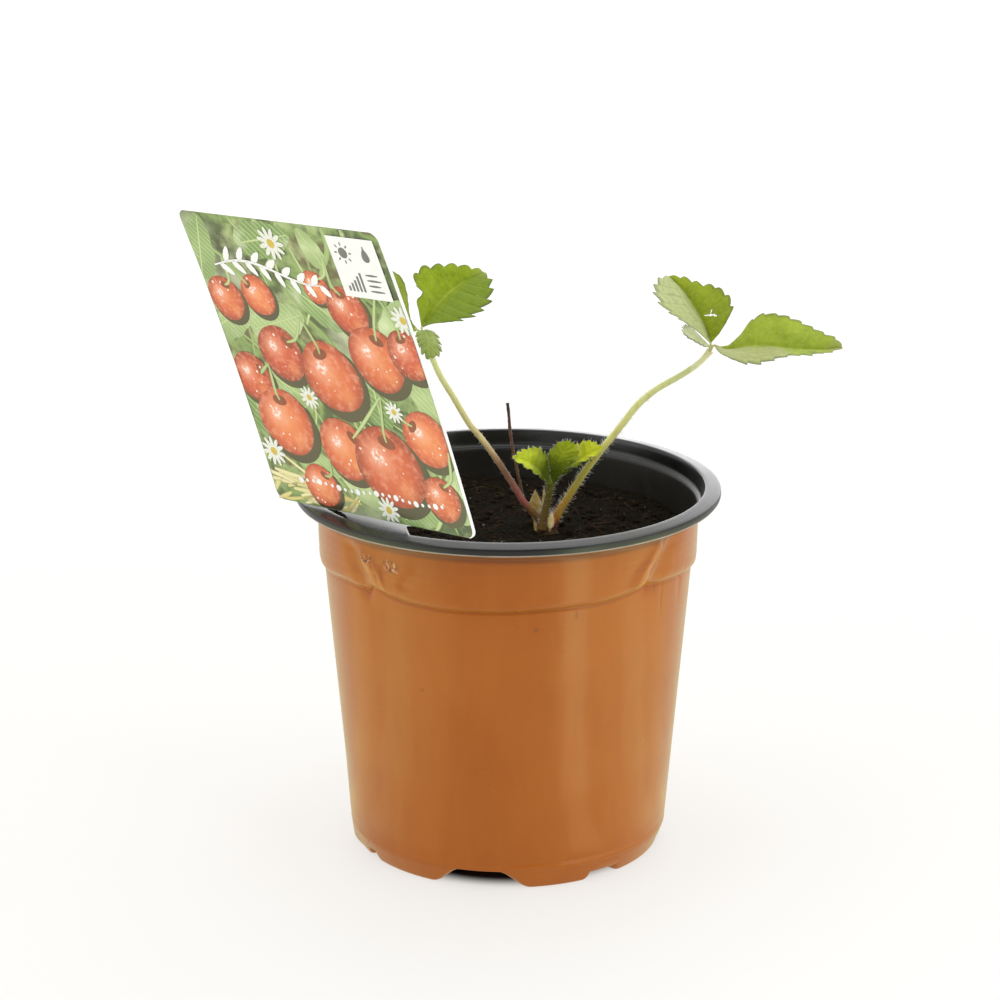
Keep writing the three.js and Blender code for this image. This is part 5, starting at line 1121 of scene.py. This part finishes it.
def label():
    b = Build()
    # card and stake: rows of (t, left, right)
    centre, hw = (29.6 + 55.0) / 2, (55.0 - 29.6) / 2
    rows = [(-62.0, centre - 1.0, centre + 1.0), (-61.2, centre - 1.9, centre + 1.9), (-40.0, 29.7, 54.9), (-39, 29.6, 55.0)]
    rows += [(t, 29.6, 55.0) for t in (-30, -20, -12, -8, -5, -3, -1.8)]
    rows += [(-1.0, 29.2, 55.4), (-0.45, 28.4, 56.2), (-0.1, 26.6, 58.0), (0.0, 26.0, 58.6)]
    rad = 3.0
    corner = lambda k: rad * (1 - math.sqrt(max(0, 1 - (1 - k / rad) ** 2)))
    ks = [0.02, 0.1, 0.3, 0.6, 1.0, 1.5, 2.2, 3.0]
    rows += [(k, corner(k), LW - corner(k)) for k in ks]
    rows += [(t, 0, LW) for t in np.linspace(3, LH - 3, 44)[1:-1]]
    rows += [(LH - k, corner(k), LW - corner(k)) for k in reversed(ks)]
    cols = 34
    T = np.array([r[0] for r in rows])
    S = np.array([np.append(np.linspace(r[1], r[2] - 0.75, cols - 1), r[2]) for r in rows])
    front = sheet(S, T[:, None], 0.25)
    back = sheet(S, T[:, None], -0.25)
    n = len(rows) * cols
    attr = np.stack([S, np.broadcast_to(T[:, None], S.shape), np.zeros_like(S)], 2).reshape(-1, 3)
    f_front = [q[::-1] for q in grid_faces(len(rows), cols)]
    mat_front = []
    for i in range(len(rows) - 1):
        mat_front += [1 if rows[i][0] >= 0 else 0] * (cols - 2) + [0]
    f_back = [tuple(k + n for k in q[::-1]) for q in f_front]
    b.add(np.concatenate([front.reshape(-1, 3), back.reshape(-1, 3)]), f_front + f_back, mat_front + [0] * len(f_back), np.concatenate([attr, attr]))
    ring = [i * cols for i in range(len(rows))] + [(len(rows) - 1) * cols + j for j in range(1, cols)]
    ring += [i * cols + cols - 1 for i in range(len(rows) - 2, -1, -1)] + [j for j in range(cols - 2, 0, -1)]
    v = np.concatenate([front.reshape(-1, 3)[ring], back.reshape(-1, 3)[ring]])
    m = len(ring)
    b.add(v, [(j, (j + 1) % m, (j + 1) % m + m, j + m) for j in range(m)], 0)

    rnd = np.random.default_rng(21)
    circ = lambda r, n=40, sx=1.0, sy=1.0, rot=0.0, wob=0.0, ph=0.0: [
        (r * (1 + wob * math.sin(3 * a + ph)) * (sx * math.cos(a) * math.cos(rot) - sy * math.sin(a) * math.sin(rot)),
         r * (1 + wob * math.sin(3 * a + ph)) * (sx * math.cos(a) * math.sin(rot) + sy * math.sin(a) * math.cos(rot)))
        for a in np.linspace(0, 2 * math.pi, n, endpoint=False)]

    def oval(cs, ct, ln, wd, rot, layer, mat, seed):
        a = np.linspace(0, 2 * math.pi, 44, endpoint=False)
        x = ln / 2 * np.cos(a)
        y = wd / 2 * np.sin(a) * (1 - 0.25 * np.cos(a)) * (1 + 0.05 * np.sin(11 * a))
        disc(b, cs, ct, np.stack([x * math.cos(rot) - y * math.sin(rot), x * math.sin(rot) + y * math.cos(rot)], 1), layer, mat, 4, seed)

    # sunlit grass
    for k in range(52):
        s0, t0 = rnd.uniform(0, LW), rnd.uniform(-4, LH - 12)
        a = rnd.uniform(0.7, 2.4)
        ln = rnd.uniform(14, 36)
        stroke(b, [(s0, t0), (s0 + ln / 2 * math.cos(a) + rnd.uniform(-2, 2), t0 + ln / 2 * math.sin(a)), (s0 + ln * math.cos(a + 0.25), t0 + ln * math.sin(a + 0.25))],
               rnd.uniform(0.7, 2.2), 1 + 0.3 * (k % 4), 3, k * 0.37)
    # pale dry stems along the left foot of the picture
    for k in range(30):
        s0, t0 = rnd.uniform(-2, 34), rnd.uniform(0, 13)
        a = rnd.uniform(-0.5, 0.9)
        ln = rnd.uniform(9, 24)
        stroke(b, [(s0 - ln / 2 * math.cos(a), t0 - ln / 2 * math.sin(a)), (s0, t0 + rnd.uniform(-0.6, 0.6)), (s0 + ln / 2 * math.cos(a), t0 + ln / 2 * math.sin(a))],
               rnd.uniform(0.9, 2.0), 2.6, 4, k * 0.53)
    # leaves
    for k, (s0, t0, ln, wd, rot) in enumerate([
            (4, 33, 26, 13, 1.9), (27, 63, 27, 14, 0.3), (47, 71, 24, 11, 2.6), (79, 67, 22, 12, 1.0), (22, 41, 22, 11, -0.5), (60, 44, 26, 12, 1.5),
            (82, 44, 26, 12, 2.0), (66, 7, 24, 12, 0.5), (40, 11, 22, 10, 2.5), (6, 62, 24, 12, 0.4), (34, 91, 26, 12, 0.2),
            (54, 90, 14, 8, 2.0), (4, 86, 24, 12, 1.2), (83, 14, 20, 11, 1.4), (22, 16, 22, 10, 2.7)]):
        oval(s0, t0, ln, wd, rot, 3.2 + 0.35 * (k % 5), 5, k * 0.61)
        stroke(b, [(s0 - ln * 0.46 * math.cos(rot), t0 - ln * 0.46 * math.sin(rot)), (s0, t0), (s0 + ln * 0.46 * math.cos(rot), t0 + ln * 0.46 * math.sin(rot))], 0.8, 5.2, 3, 0.93)
    # bunches of cherries: (where the stalks meet), then (s, t, radius, tone) from back to front
    bunches = [((12, 83), [(22.5, 71.5, 7.0, 0.2), (7.5, 69.0, 7.6, 0.75)]), ((58, 88), [(50.0, 77.0, 5.6, 0.9), (60.5, 70.5, 8.2, 0.3)]),
               ((38, 66), [(24.0, 52.5, 9.6, 0.45), (43.5, 47.0, 12.2, 0.1)]), ((75, 78), [(66.0, 55.5, 11.0, 0.6), (80.5, 58.5, 8.4, 0.0)]),
               ((16, 48), [(7.0, 42.5, 8.6, 0.15), (15.5, 28.5, 11.6, 0.5)]), ((62, 43), [(39.0, 22.5, 10.6, 0.85), (76.5, 31.0, 9.4, 0.35), (56.5, 19.0, 14.0, 0.25)]),
               ((84, 28), [(75.5, 11.5, 7.6, 0.7)]), ((30, 18), [(23.0, 8.0, 7.4, 0.05)])]
    lay = 6.0
    for (js, jt), group in bunches:
        for s0, t0, r, tone in group:
            disc(b, s0 + 0.13 * r, t0 - 0.16 * r, circ(r * 1.04, 40), lay, 6, 4, tone)
            disc(b, s0, t0, circ(r, 56, 1.0, 0.96, tone, 0.022, 2.2 + 9 * tone), lay + 0.3, 7, 6, tone + 0.37 * r)
            ds, dt = (js - s0) / math.hypot(js - s0, jt - t0), (jt - t0) / math.hypot(js - s0, jt - t0)
            disc(b, s0 + ds * r * 0.62, t0 + dt * r * 0.62, circ(r * 0.20, 20, 1.3, 0.75, math.atan2(dt, ds) + 1.57), lay + 0.6, 12, 2, tone)
            bx, by = (s0 + js) / 2 + 1.8 * math.sin(9 * tone + r), (t0 + jt) / 2 - 1.2
            stroke(b, [(s0 + ds * r * 0.62, t0 + dt * r * 0.62), (bx, by), (js, jt)], 1.25, lay + 0.9, 3, 0.55 + 0.4 * tone)
            for q in range(5):
                a = rnd.uniform(0, 6.28)
                rr = r * math.sqrt(rnd.uniform(0, 0.7))
                disc(b, s0 + rr * math.cos(a), t0 + rr * math.sin(a), circ(rnd.uniform(0.22, 0.5), 10), lay + 1.0, 13, 1, q)
            lay += 1.25
    # daisies
    for k, (s0, t0, r) in enumerate([(37.5, 90.0, 5.4), (5.0, 17.0, 5.0), (83.0, 70.0, 4.6), (30.0, 38.5, 3.8), (66.0, 38.5, 3.6), (50.5, 4.0, 4.4)]):
        for i in range(11):
            a = 2 * math.pi * i / 11 + 0.4 * k
            cx, cy = s0 + r * 0.62 * math.cos(a), t0 + r * 0.62 * math.sin(a)
            disc(b, cx, cy, circ(r * 0.40, 20, 1.0, 0.36, a), 27 + (i % 3) * 0.35, 8, 3, i + k)
        disc(b, s0, t0, circ(r * 0.27, 20), 28.3, 9, 2, k)
    # a white sprig in the place of a heading, and a dotted rule near the foot
    sprig = [(8 + 46 * u, 80.2 + 2.6 * math.sin(u * 5.2)) for u in np.linspace(0, 1, 9)]
    stroke(b, sprig, 0.9, 30, 10)
    sp = Curve([[p[0], p[1], 0] for p in sprig], 200)
    for i, u in enumerate(np.linspace(0.06, 0.97, 15)):
        p = sp.at(u)[0]
        tg = sp.tangent(u, 0.02)[0]
        a = math.atan2(tg[1], tg[0]) + (0.85 if i % 2 else -0.85)
        ln = 6.2 - 1.6 * u
        oval(p[0] + ln * 0.52 * math.cos(a), p[1] + ln * 0.52 * math.sin(a), ln, 2.3, a, 30, 10, 0)
    for k in range(23):
        disc(b, 14 + k * 2.75, 8.6 + 0.5 * math.sin(k * 0.6), circ(0.62 if k % 3 else 1.05, 14), 30, 10, 1, 0)
    # white care panel with plain signs: sun, drop, thermometer bars
    ps, pt, pw, ph = 62.6, 75.8, 19.4, 19.4
    gs, gt = np.meshgrid(np.linspace(ps, ps + pw, 9), np.linspace(pt, pt + ph, 9))
    art(b, gs.ravel(), gt.ravel(), [q for q in grid_faces(9, 9, flip=True)], 31, 10, np.zeros((81, 3)))
    disc(b, ps + 5.2, pt + 14.2, circ(1.75, 24), 32.5, 11, 2)
    for i in range(8):
        a = 2 * math.pi * i / 8
        stroke(b, [(ps + 5.2 + 2.3 * math.cos(a), pt + 14.2 + 2.3 * math.sin(a)), (ps + 5.2 + 2.9 * math.cos(a), pt + 14.2 + 2.9 * math.sin(a)),
                   (ps + 5.2 + 3.5 * math.cos(a), pt + 14.2 + 3.5 * math.sin(a))], 0.6, 32.5, 11)
    drop = [(1.9 * math.sin(a) * (1 - 0.5 * (1 + math.cos(a)) / 2), 2.1 * -math.cos(a) * -1 + (0.9 if abs(a) < 0.3 else 0)) for a in np.linspace(-math.pi, math.pi, 28, endpoint=False)]
    disc(b, ps + 14.2, pt + 14.0, drop, 32.5, 11, 2)
    for i, hgt in enumerate((1.6, 2.6, 3.6, 5.0, 6.2)):
        x0 = ps + 2.6 + i * 1.5
        gs, gt = np.meshgrid([x0, x0 + 0.9], [pt + 2.0, pt + 2.0 + hgt])
        art(b, gs.ravel(), gt.ravel(), grid_faces(2, 2, flip=True), 32.5, 11, np.zeros((4, 3)))
    for i in range(4):
        stroke(b, [(ps + 11.4, pt + 2.6 + i * 1.7), (ps + 14.2, pt + 2.6 + i * 1.7), (ps + 17.2 - 0.9 * (i % 2), pt + 2.6 + i * 1.7)], 0.7, 32.5, 11)
    white = Nodes("label_white")
    n1 = white.noise(white.coords(), 300, 3)
    white.set(color=white.mix(white.maprange(n1, 0.3, 0.7), (0.90, 0.90, 0.885), (0.95, 0.95, 0.94)), rough=0.32, spec=0.5)

    GLOSS = dict(rough=0.30, spec=0.35, coat=0.15, coat_rough=0.18)

    def ink(name, fn):
        m = Nodes(name)
        col = fn(m)
        return m.set(color=col, **GLOSS)

    def ground(m):
        c = m.coords()
        vec, s, t, z = m.attr()
        n1, n2 = m.noise(c, 60, 3), m.noise(c, 150, 4)
        col = m.ramp(n1, [(0.34, (0.025, 0.045, 0.018)), (0.44, (0.06, 0.10, 0.035)), (0.52, (0.22, 0.34, 0.10)), (0.60, (0.10, 0.075, 0.04)), (0.70, (0.34, 0.46, 0.16))])
        col = m.mix(m.maprange(n2, 0.50, 0.70, 0, 0.55), col, (0.60, 0.70, 0.34))
        bright = m.maprange(m.noise(c, 34, 2), 0.55, 0.70, 0, 0.6, smooth=True)
        return m.mix(bright, col, (0.72, 0.78, 0.52))

    def grass(m):
        vec, x, y, z = m.attr()
        col = m.mix(m.math("FRACT", z), (0.22, 0.36, 0.10), (0.58, 0.70, 0.32))
        return m.mix(m.maprange(m.math("ABSOLUTE", y), 0.2, 1.0, 0, 0.5), col, (0.12, 0.2, 0.05))

    def straw(m):
        vec, x, y, z = m.attr()
        col = m.mix(m.math("FRACT", z), (0.66, 0.58, 0.20), (0.90, 0.85, 0.50))
        return m.mix(m.maprange(m.math("ABSOLUTE", y), 0.3, 1.0, 0, 0.45), col, (0.35, 0.27, 0.08))

    def foliage(m):
        vec, x, y, z = m.attr()
        col = m.mix(m.math("FRACT", z), (0.14, 0.27, 0.06), (0.56, 0.70, 0.32))
        w = m.new("ShaderNodeTexWave", wave_type="BANDS", bands_direction="DIAGONAL")
        w.inputs["Scale"].default_value = 3.2
        w.inputs["Distortion"].default_value = 1.5
        m.link(vec, w.inputs["Vector"])
        col = m.mix(m.maprange(w.outputs["Fac"], 0.70, 1.0, 0, 0.5), col, (0.66, 0.78, 0.44))
        col = m.mix(m.maprange(m.noise(m.coords(), 120, 3), 0.5, 0.7, 0, 0.5), col, (0.78, 0.84, 0.58))
        return m.mix(m.maprange(m.math("ABSOLUTE", y), 0.05, 0.6, 0, 0.35), col, (0.10, 0.19, 0.05))

    def shade(m):
        return m.mix(m.noise(m.coords(), 90, 2), (0.030, 0.028, 0.018), (0.075, 0.055, 0.03))

    def berry(m):
        vec, x, y, z = m.attr()
        rad = m.math("SQRT", m.math("ADD", m.math("POWER", x, 2.0), m.math("POWER", y, 2.0)))
        tone = m.math("FRACT", z)
        deep = m.ramp(rad, [(0.0, (0.66, 0.085, 0.035)), (0.6, (0.56, 0.055, 0.024)), (0.87, (0.36, 0.028, 0.016)), (1.0, (0.19, 0.016, 0.012))])
        warm = m.ramp(rad, [(0.0, (0.88, 0.30, 0.10)), (0.55, (0.78, 0.17, 0.055)), (0.87, (0.56, 0.075, 0.03)), (1.0, (0.34, 0.035, 0.02))])
        col = m.mix(m.maprange(tone, 0.25, 0.85), deep, warm)
        # the lit cheek and the light that comes back from below
        hx, hy = m.math("SUBTRACT", x, -0.28), m.math("SUBTRACT", y, 0.22)
        hd = m.math("SQRT", m.math("ADD", m.math("POWER", hx, 2.0), m.math("POWER", hy, 2.0)))
        col = m.mix(m.maprange(hd, 0.05, 0.62, 0.62, 0, smooth=True), col, (0.93, 0.42, 0.27))
        bx, by = m.math("SUBTRACT", x, 0.36), m.math("SUBTRACT", y, -0.52)
        bd = m.math("SQRT", m.math("ADD", m.math("POWER", bx, 2.0), m.math("POWER", by, 2.0)))
        col = m.mix(m.maprange(bd, 0.05, 0.40, 0.40, 0, smooth=True), col, (0.90, 0.34, 0.12))
        mot = m.noise(vec, 5.5, 4)
        col = m.mix(m.maprange(mot, 0.48, 0.68, 0, 0.45), col, (0.90, 0.38, 0.24))
        glint = m.math("MULTIPLY", m.maprange(hd, 0.10, 0.24, 1, 0, smooth=True), m.maprange(m.noise(vec, 11.0, 2), 0.42, 0.55))
        return m.mix(m.math("MULTIPLY", glint, 0.85), col, (0.97, 0.88, 0.82))

    def dimple(m):
        return m.mix(m.noise(m.coords(), 260, 2), (0.16, 0.02, 0.012), (0.30, 0.05, 0.02))

    def drops(m):
        return m.mix(m.noise(m.coords(), 800, 2), (0.90, 0.62, 0.52), (0.97, 0.90, 0.86))

    def petal(m):
        vec, x, y, z = m.attr()
        n1 = m.noise(vec, 3.0, 3)
        return m.mix(m.maprange(n1, 0.35, 0.7), (0.90, 0.90, 0.84), (0.66, 0.70, 0.58))

    def heart(m):
        vec, x, y, z = m.attr()
        return m.mix(m.maprange(m.voronoi(vec, 6.0), 0.1, 0.5), (0.85, 0.62, 0.08), (0.60, 0.42, 0.05))

    def sign(m):
        return m.mix(m.noise(m.coords(), 200, 2), (0.10, 0.10, 0.11), (0.16, 0.16, 0.17))

    def paper(m):
        return m.mix(m.noise(m.coords(), 200, 2), (0.88, 0.88, 0.87), (0.93, 0.93, 0.92))

    mats = [white.mat, ink("print_ground", ground), None, ink("print_grass", grass), ink("print_straw", straw), ink("print_leaf", foliage),
            ink("print_shade", shade), ink("print_fruit", berry), ink("print_petal", petal), ink("print_heart", heart), ink("print_white", paper),
            ink("print_sign", sign), ink("print_dimple", dimple), ink("print_drop", drops)]
    mats[2] = mats[1]
    return b.make("label_card", mats, "plant_label", "label_plastic")


pot()
soil()
plants()
label()


# ------------------------------------------------------------- floor and light
def stage():
    m = Nodes("studio_floor")
    n1 = m.noise(m.coords(), 3, 2)
    tc = m.new("ShaderNodeTexCoord")
    ln = m.new("ShaderNodeVectorMath", operation="LENGTH")
    m.link(tc.outputs["Object"], ln.inputs[0])
    far = m.maprange(ln.outputs["Value"], 0.25, 0.9, smooth=True)
    off = m.new("ShaderNodeVectorMath", operation="SUBTRACT")
    off.inputs[1].default_value = (AXIS[0], AXIS[1], 0)
    m.link(tc.outputs["Object"], off.inputs[0])
    l2 = m.new("ShaderNodeVectorMath", operation="LENGTH")
    m.link(off.outputs[0], l2.inputs[0])
    pot_shadow_mask = m.maprange(l2.outputs["Value"], 0.0385, 0.0465, 1, 0, smooth=True)
    # painted shadow: the floor is coloured dark under the pot
    m.set(color=m.mix(pot_shadow_mask, m.mix(n1, (0.292, 0.292, 0.288), (0.30, 0.30, 0.296)), (0.06, 0.055, 0.05)), rough=0.65, spec=0.05)
    # the table glows a little, like a light table, so the shadow stays faint; not under the pot
    m.link(m.mix(pot_shadow_mask, m.mix(far, (0.640, 0.636, 0.615), (0.76, 0.76, 0.755)), (0.0, 0.0, 0.0)), m.bsdf.inputs["Emission Color"])
    m.bsdf.inputs["Emission Strength"].default_value = 1.0
    bpy.ops.mesh.primitive_plane_add(size=30, location=(0, 0, -0.00002))
    floor = bpy.context.object
    floor.name = "studio_floor"
    floor.data.materials.append(m.mat)
    w = bpy.data.worlds.new("studio")
    bpy.context.scene.world = w
    w.use_nodes = True
    wt = w.node_tree
    bg = wt.nodes["Background"]
    tc = wt.nodes.new("ShaderNodeTexCoord")
    sx = wt.nodes.new("ShaderNodeSeparateXYZ")
    wt.links.new(tc.outputs["Generated"], sx.inputs[0])

    def ramp(sock, a, b, lo, hi):
        n = wt.nodes.new("ShaderNodeMapRange")
        n.interpolation_type = "SMOOTHSTEP"
        for k, v in zip(("From Min", "From Max", "To Min", "To Max"), (a, b, lo, hi)):
            n.inputs[k].default_value = v
        wt.links.new(sock, n.inputs["Value"])
        return n.outputs[0]

    mx = wt.nodes.new("ShaderNodeMath")
    mx.operation = "MAXIMUM"
    wt.links.new(ramp(sx.outputs["Y"], -0.86, -0.35, 0.22, 1.0), mx.inputs[0])
    wt.links.new(ramp(sx.outputs["Z"], 0.40, 0.85, 0.22, 1.0), mx.inputs[1])
    st = wt.nodes.new("ShaderNodeMath")
    st.operation = "MULTIPLY"
    st.inputs[1].default_value = WORLD
    wt.links.new(mx.outputs[0], st.inputs[0])
    bg.inputs[0].default_value = (1.0, 1.0, 1.0, 1)
    wt.links.new(st.outputs[0], bg.inputs[1])

    def area(name, az, dist, z, size, power, aim=0.07):
        """A soft panel at azimuth az degrees (0 is the camera side, + is right), facing the plant."""
        d = bpy.data.lights.new(name, "AREA")
        d.shape, d.size, d.size_y = "RECTANGLE", size[0], size[1]
        d.energy = power
        o = bpy.data.objects.new(name, d)
        bpy.context.scene.collection.objects.link(o)
        a = math.radians(az)
        loc = Vector((AXIS[0] + dist * math.sin(a), AXIS[1] - dist * math.cos(a), z))
        o.location = loc
        o.rotation_mode = "QUATERNION"
        o.rotation_quaternion = (Vector((AXIS[0], AXIS[1], aim)) - loc).to_track_quat("-Z", "Y")
        return o

    def backdrop(name, dist, z0, z1, x0, x1, radiance):
        """An upright panel far behind the plant that is seen only in gloss."""
        d = bpy.data.lights.new(name, "AREA")
        d.shape, d.size, d.size_y = "RECTANGLE", x1 - x0, z1 - z0
        d.energy = radiance * math.pi * (x1 - x0) * (z1 - z0)
        o = bpy.data.objects.new(name, d)
        bpy.context.scene.collection.objects.link(o)
        o.location = (AXIS[0] + (x0 + x1) / 2, AXIS[1] + dist, (z0 + z1) / 2)
        o.rotation_euler = (math.radians(-90), 0, 0)
        o.visible_camera = o.visible_diffuse = o.visible_transmission = False
        return o

    backdrop("back_low", 1.6, 0.02, 0.50, -0.7, 1.1, GLOW[3])
    backdrop("back_mid", 1.6, 0.50, 0.86, -0.7, 1.1, GLOW[3] * 0.6)
    backdrop("back_high", 1.6, 0.86, 1.15, -0.7, 1.1, GLOW[3] * 0.25)

    def glow(name, az, r0, r1, width, radiance, tint=(1, 1, 1)):
        """A panel lying on the table that is seen only in the gloss of the pot."""
        d = bpy.data.lights.new(name, "AREA")
        d.shape, d.size, d.size_y = "RECTANGLE", width, r1 - r0
        d.energy = radiance * math.pi * width * (r1 - r0)
        d.color = tint
        o = bpy.data.objects.new(name, d)
        bpy.context.scene.collection.objects.link(o)
        a, mid = math.radians(az), (r0 + r1) / 2
        o.location = (AXIS[0] + mid * math.sin(a), AXIS[1] - mid * math.cos(a), 0.0006)
        o.rotation_euler = (math.pi, 0, a)
        o.visible_camera = o.visible_diffuse = o.visible_transmission = False
        return o

    for k, (r0, r1, dim) in enumerate(((0.062, 0.10, 0.35), (0.10, 0.16, 0.8), (0.16, 0.26, 1.0), (0.26, 0.42, 1.0), (0.42, 0.8, 1.0))):
        mid = (r0 + r1) / 2
        for side, az, wide, power in (("strip", 37.5, 14, GLOW[0]), ("right_a", 58.0, 19, GLOW[1]), ("right_b", 77.0, 19, GLOW[1] * 1.8),
                                      ("left_a", -45.0, 22, GLOW[2]), ("left_b", -67.0, 22, GLOW[2] * 1.9),
                                      ("right_c", 98.0, 22, 0.65), ("left_c", -93.0, 28, 0.80)):
            tint = (0.80, 1.0, 0.52) if side == "strip" else (1.0, 0.88, 0.08) if side.endswith("_c") else (0.80, 1.0, 0.38)
            glow(f"gloss_{side}_{k}", az, r0, r1, mid * math.radians(wide), power * dim, tint)

    area("left_soft", -64, 1.0, 0.46, (0.95, 0.9), 2.2)
    area("right_soft", 66, 1.0, 0.46, (0.9, 0.9), 2.8)
    area("right_strip", 43, 0.9, 0.40, (0.14, 0.8), 0.75)
    area("top_soft", 180, 0.35, 1.25, (1.2, 1.0), 3.0)


WORLD = 1.0
GLOW = (4.0, 1.1, 1.0, 1.9)
stage()
cam_d = bpy.data.cameras.new("camera")
cam_d.sensor_width, cam_d.lens = 36.0, 117.73
cam_d.clip_start, cam_d.clip_end = 0.05, 60
cam = bpy.data.objects.new("camera", cam_d)
bpy.context.scene.collection.objects.link(cam)
cam.location = Vector((AXIS[0] - 2.457 * MM, AXIS[1] - 957.19 * MM, 399.41 * MM))
cam.rotation_euler = (math.radians(90 - 16.92), 0, 0)
bpy.context.scene.camera = cam
bpy.context.scene.view_settings.view_transform = "Standard"
bpy.context.scene.view_settings.look = "None"
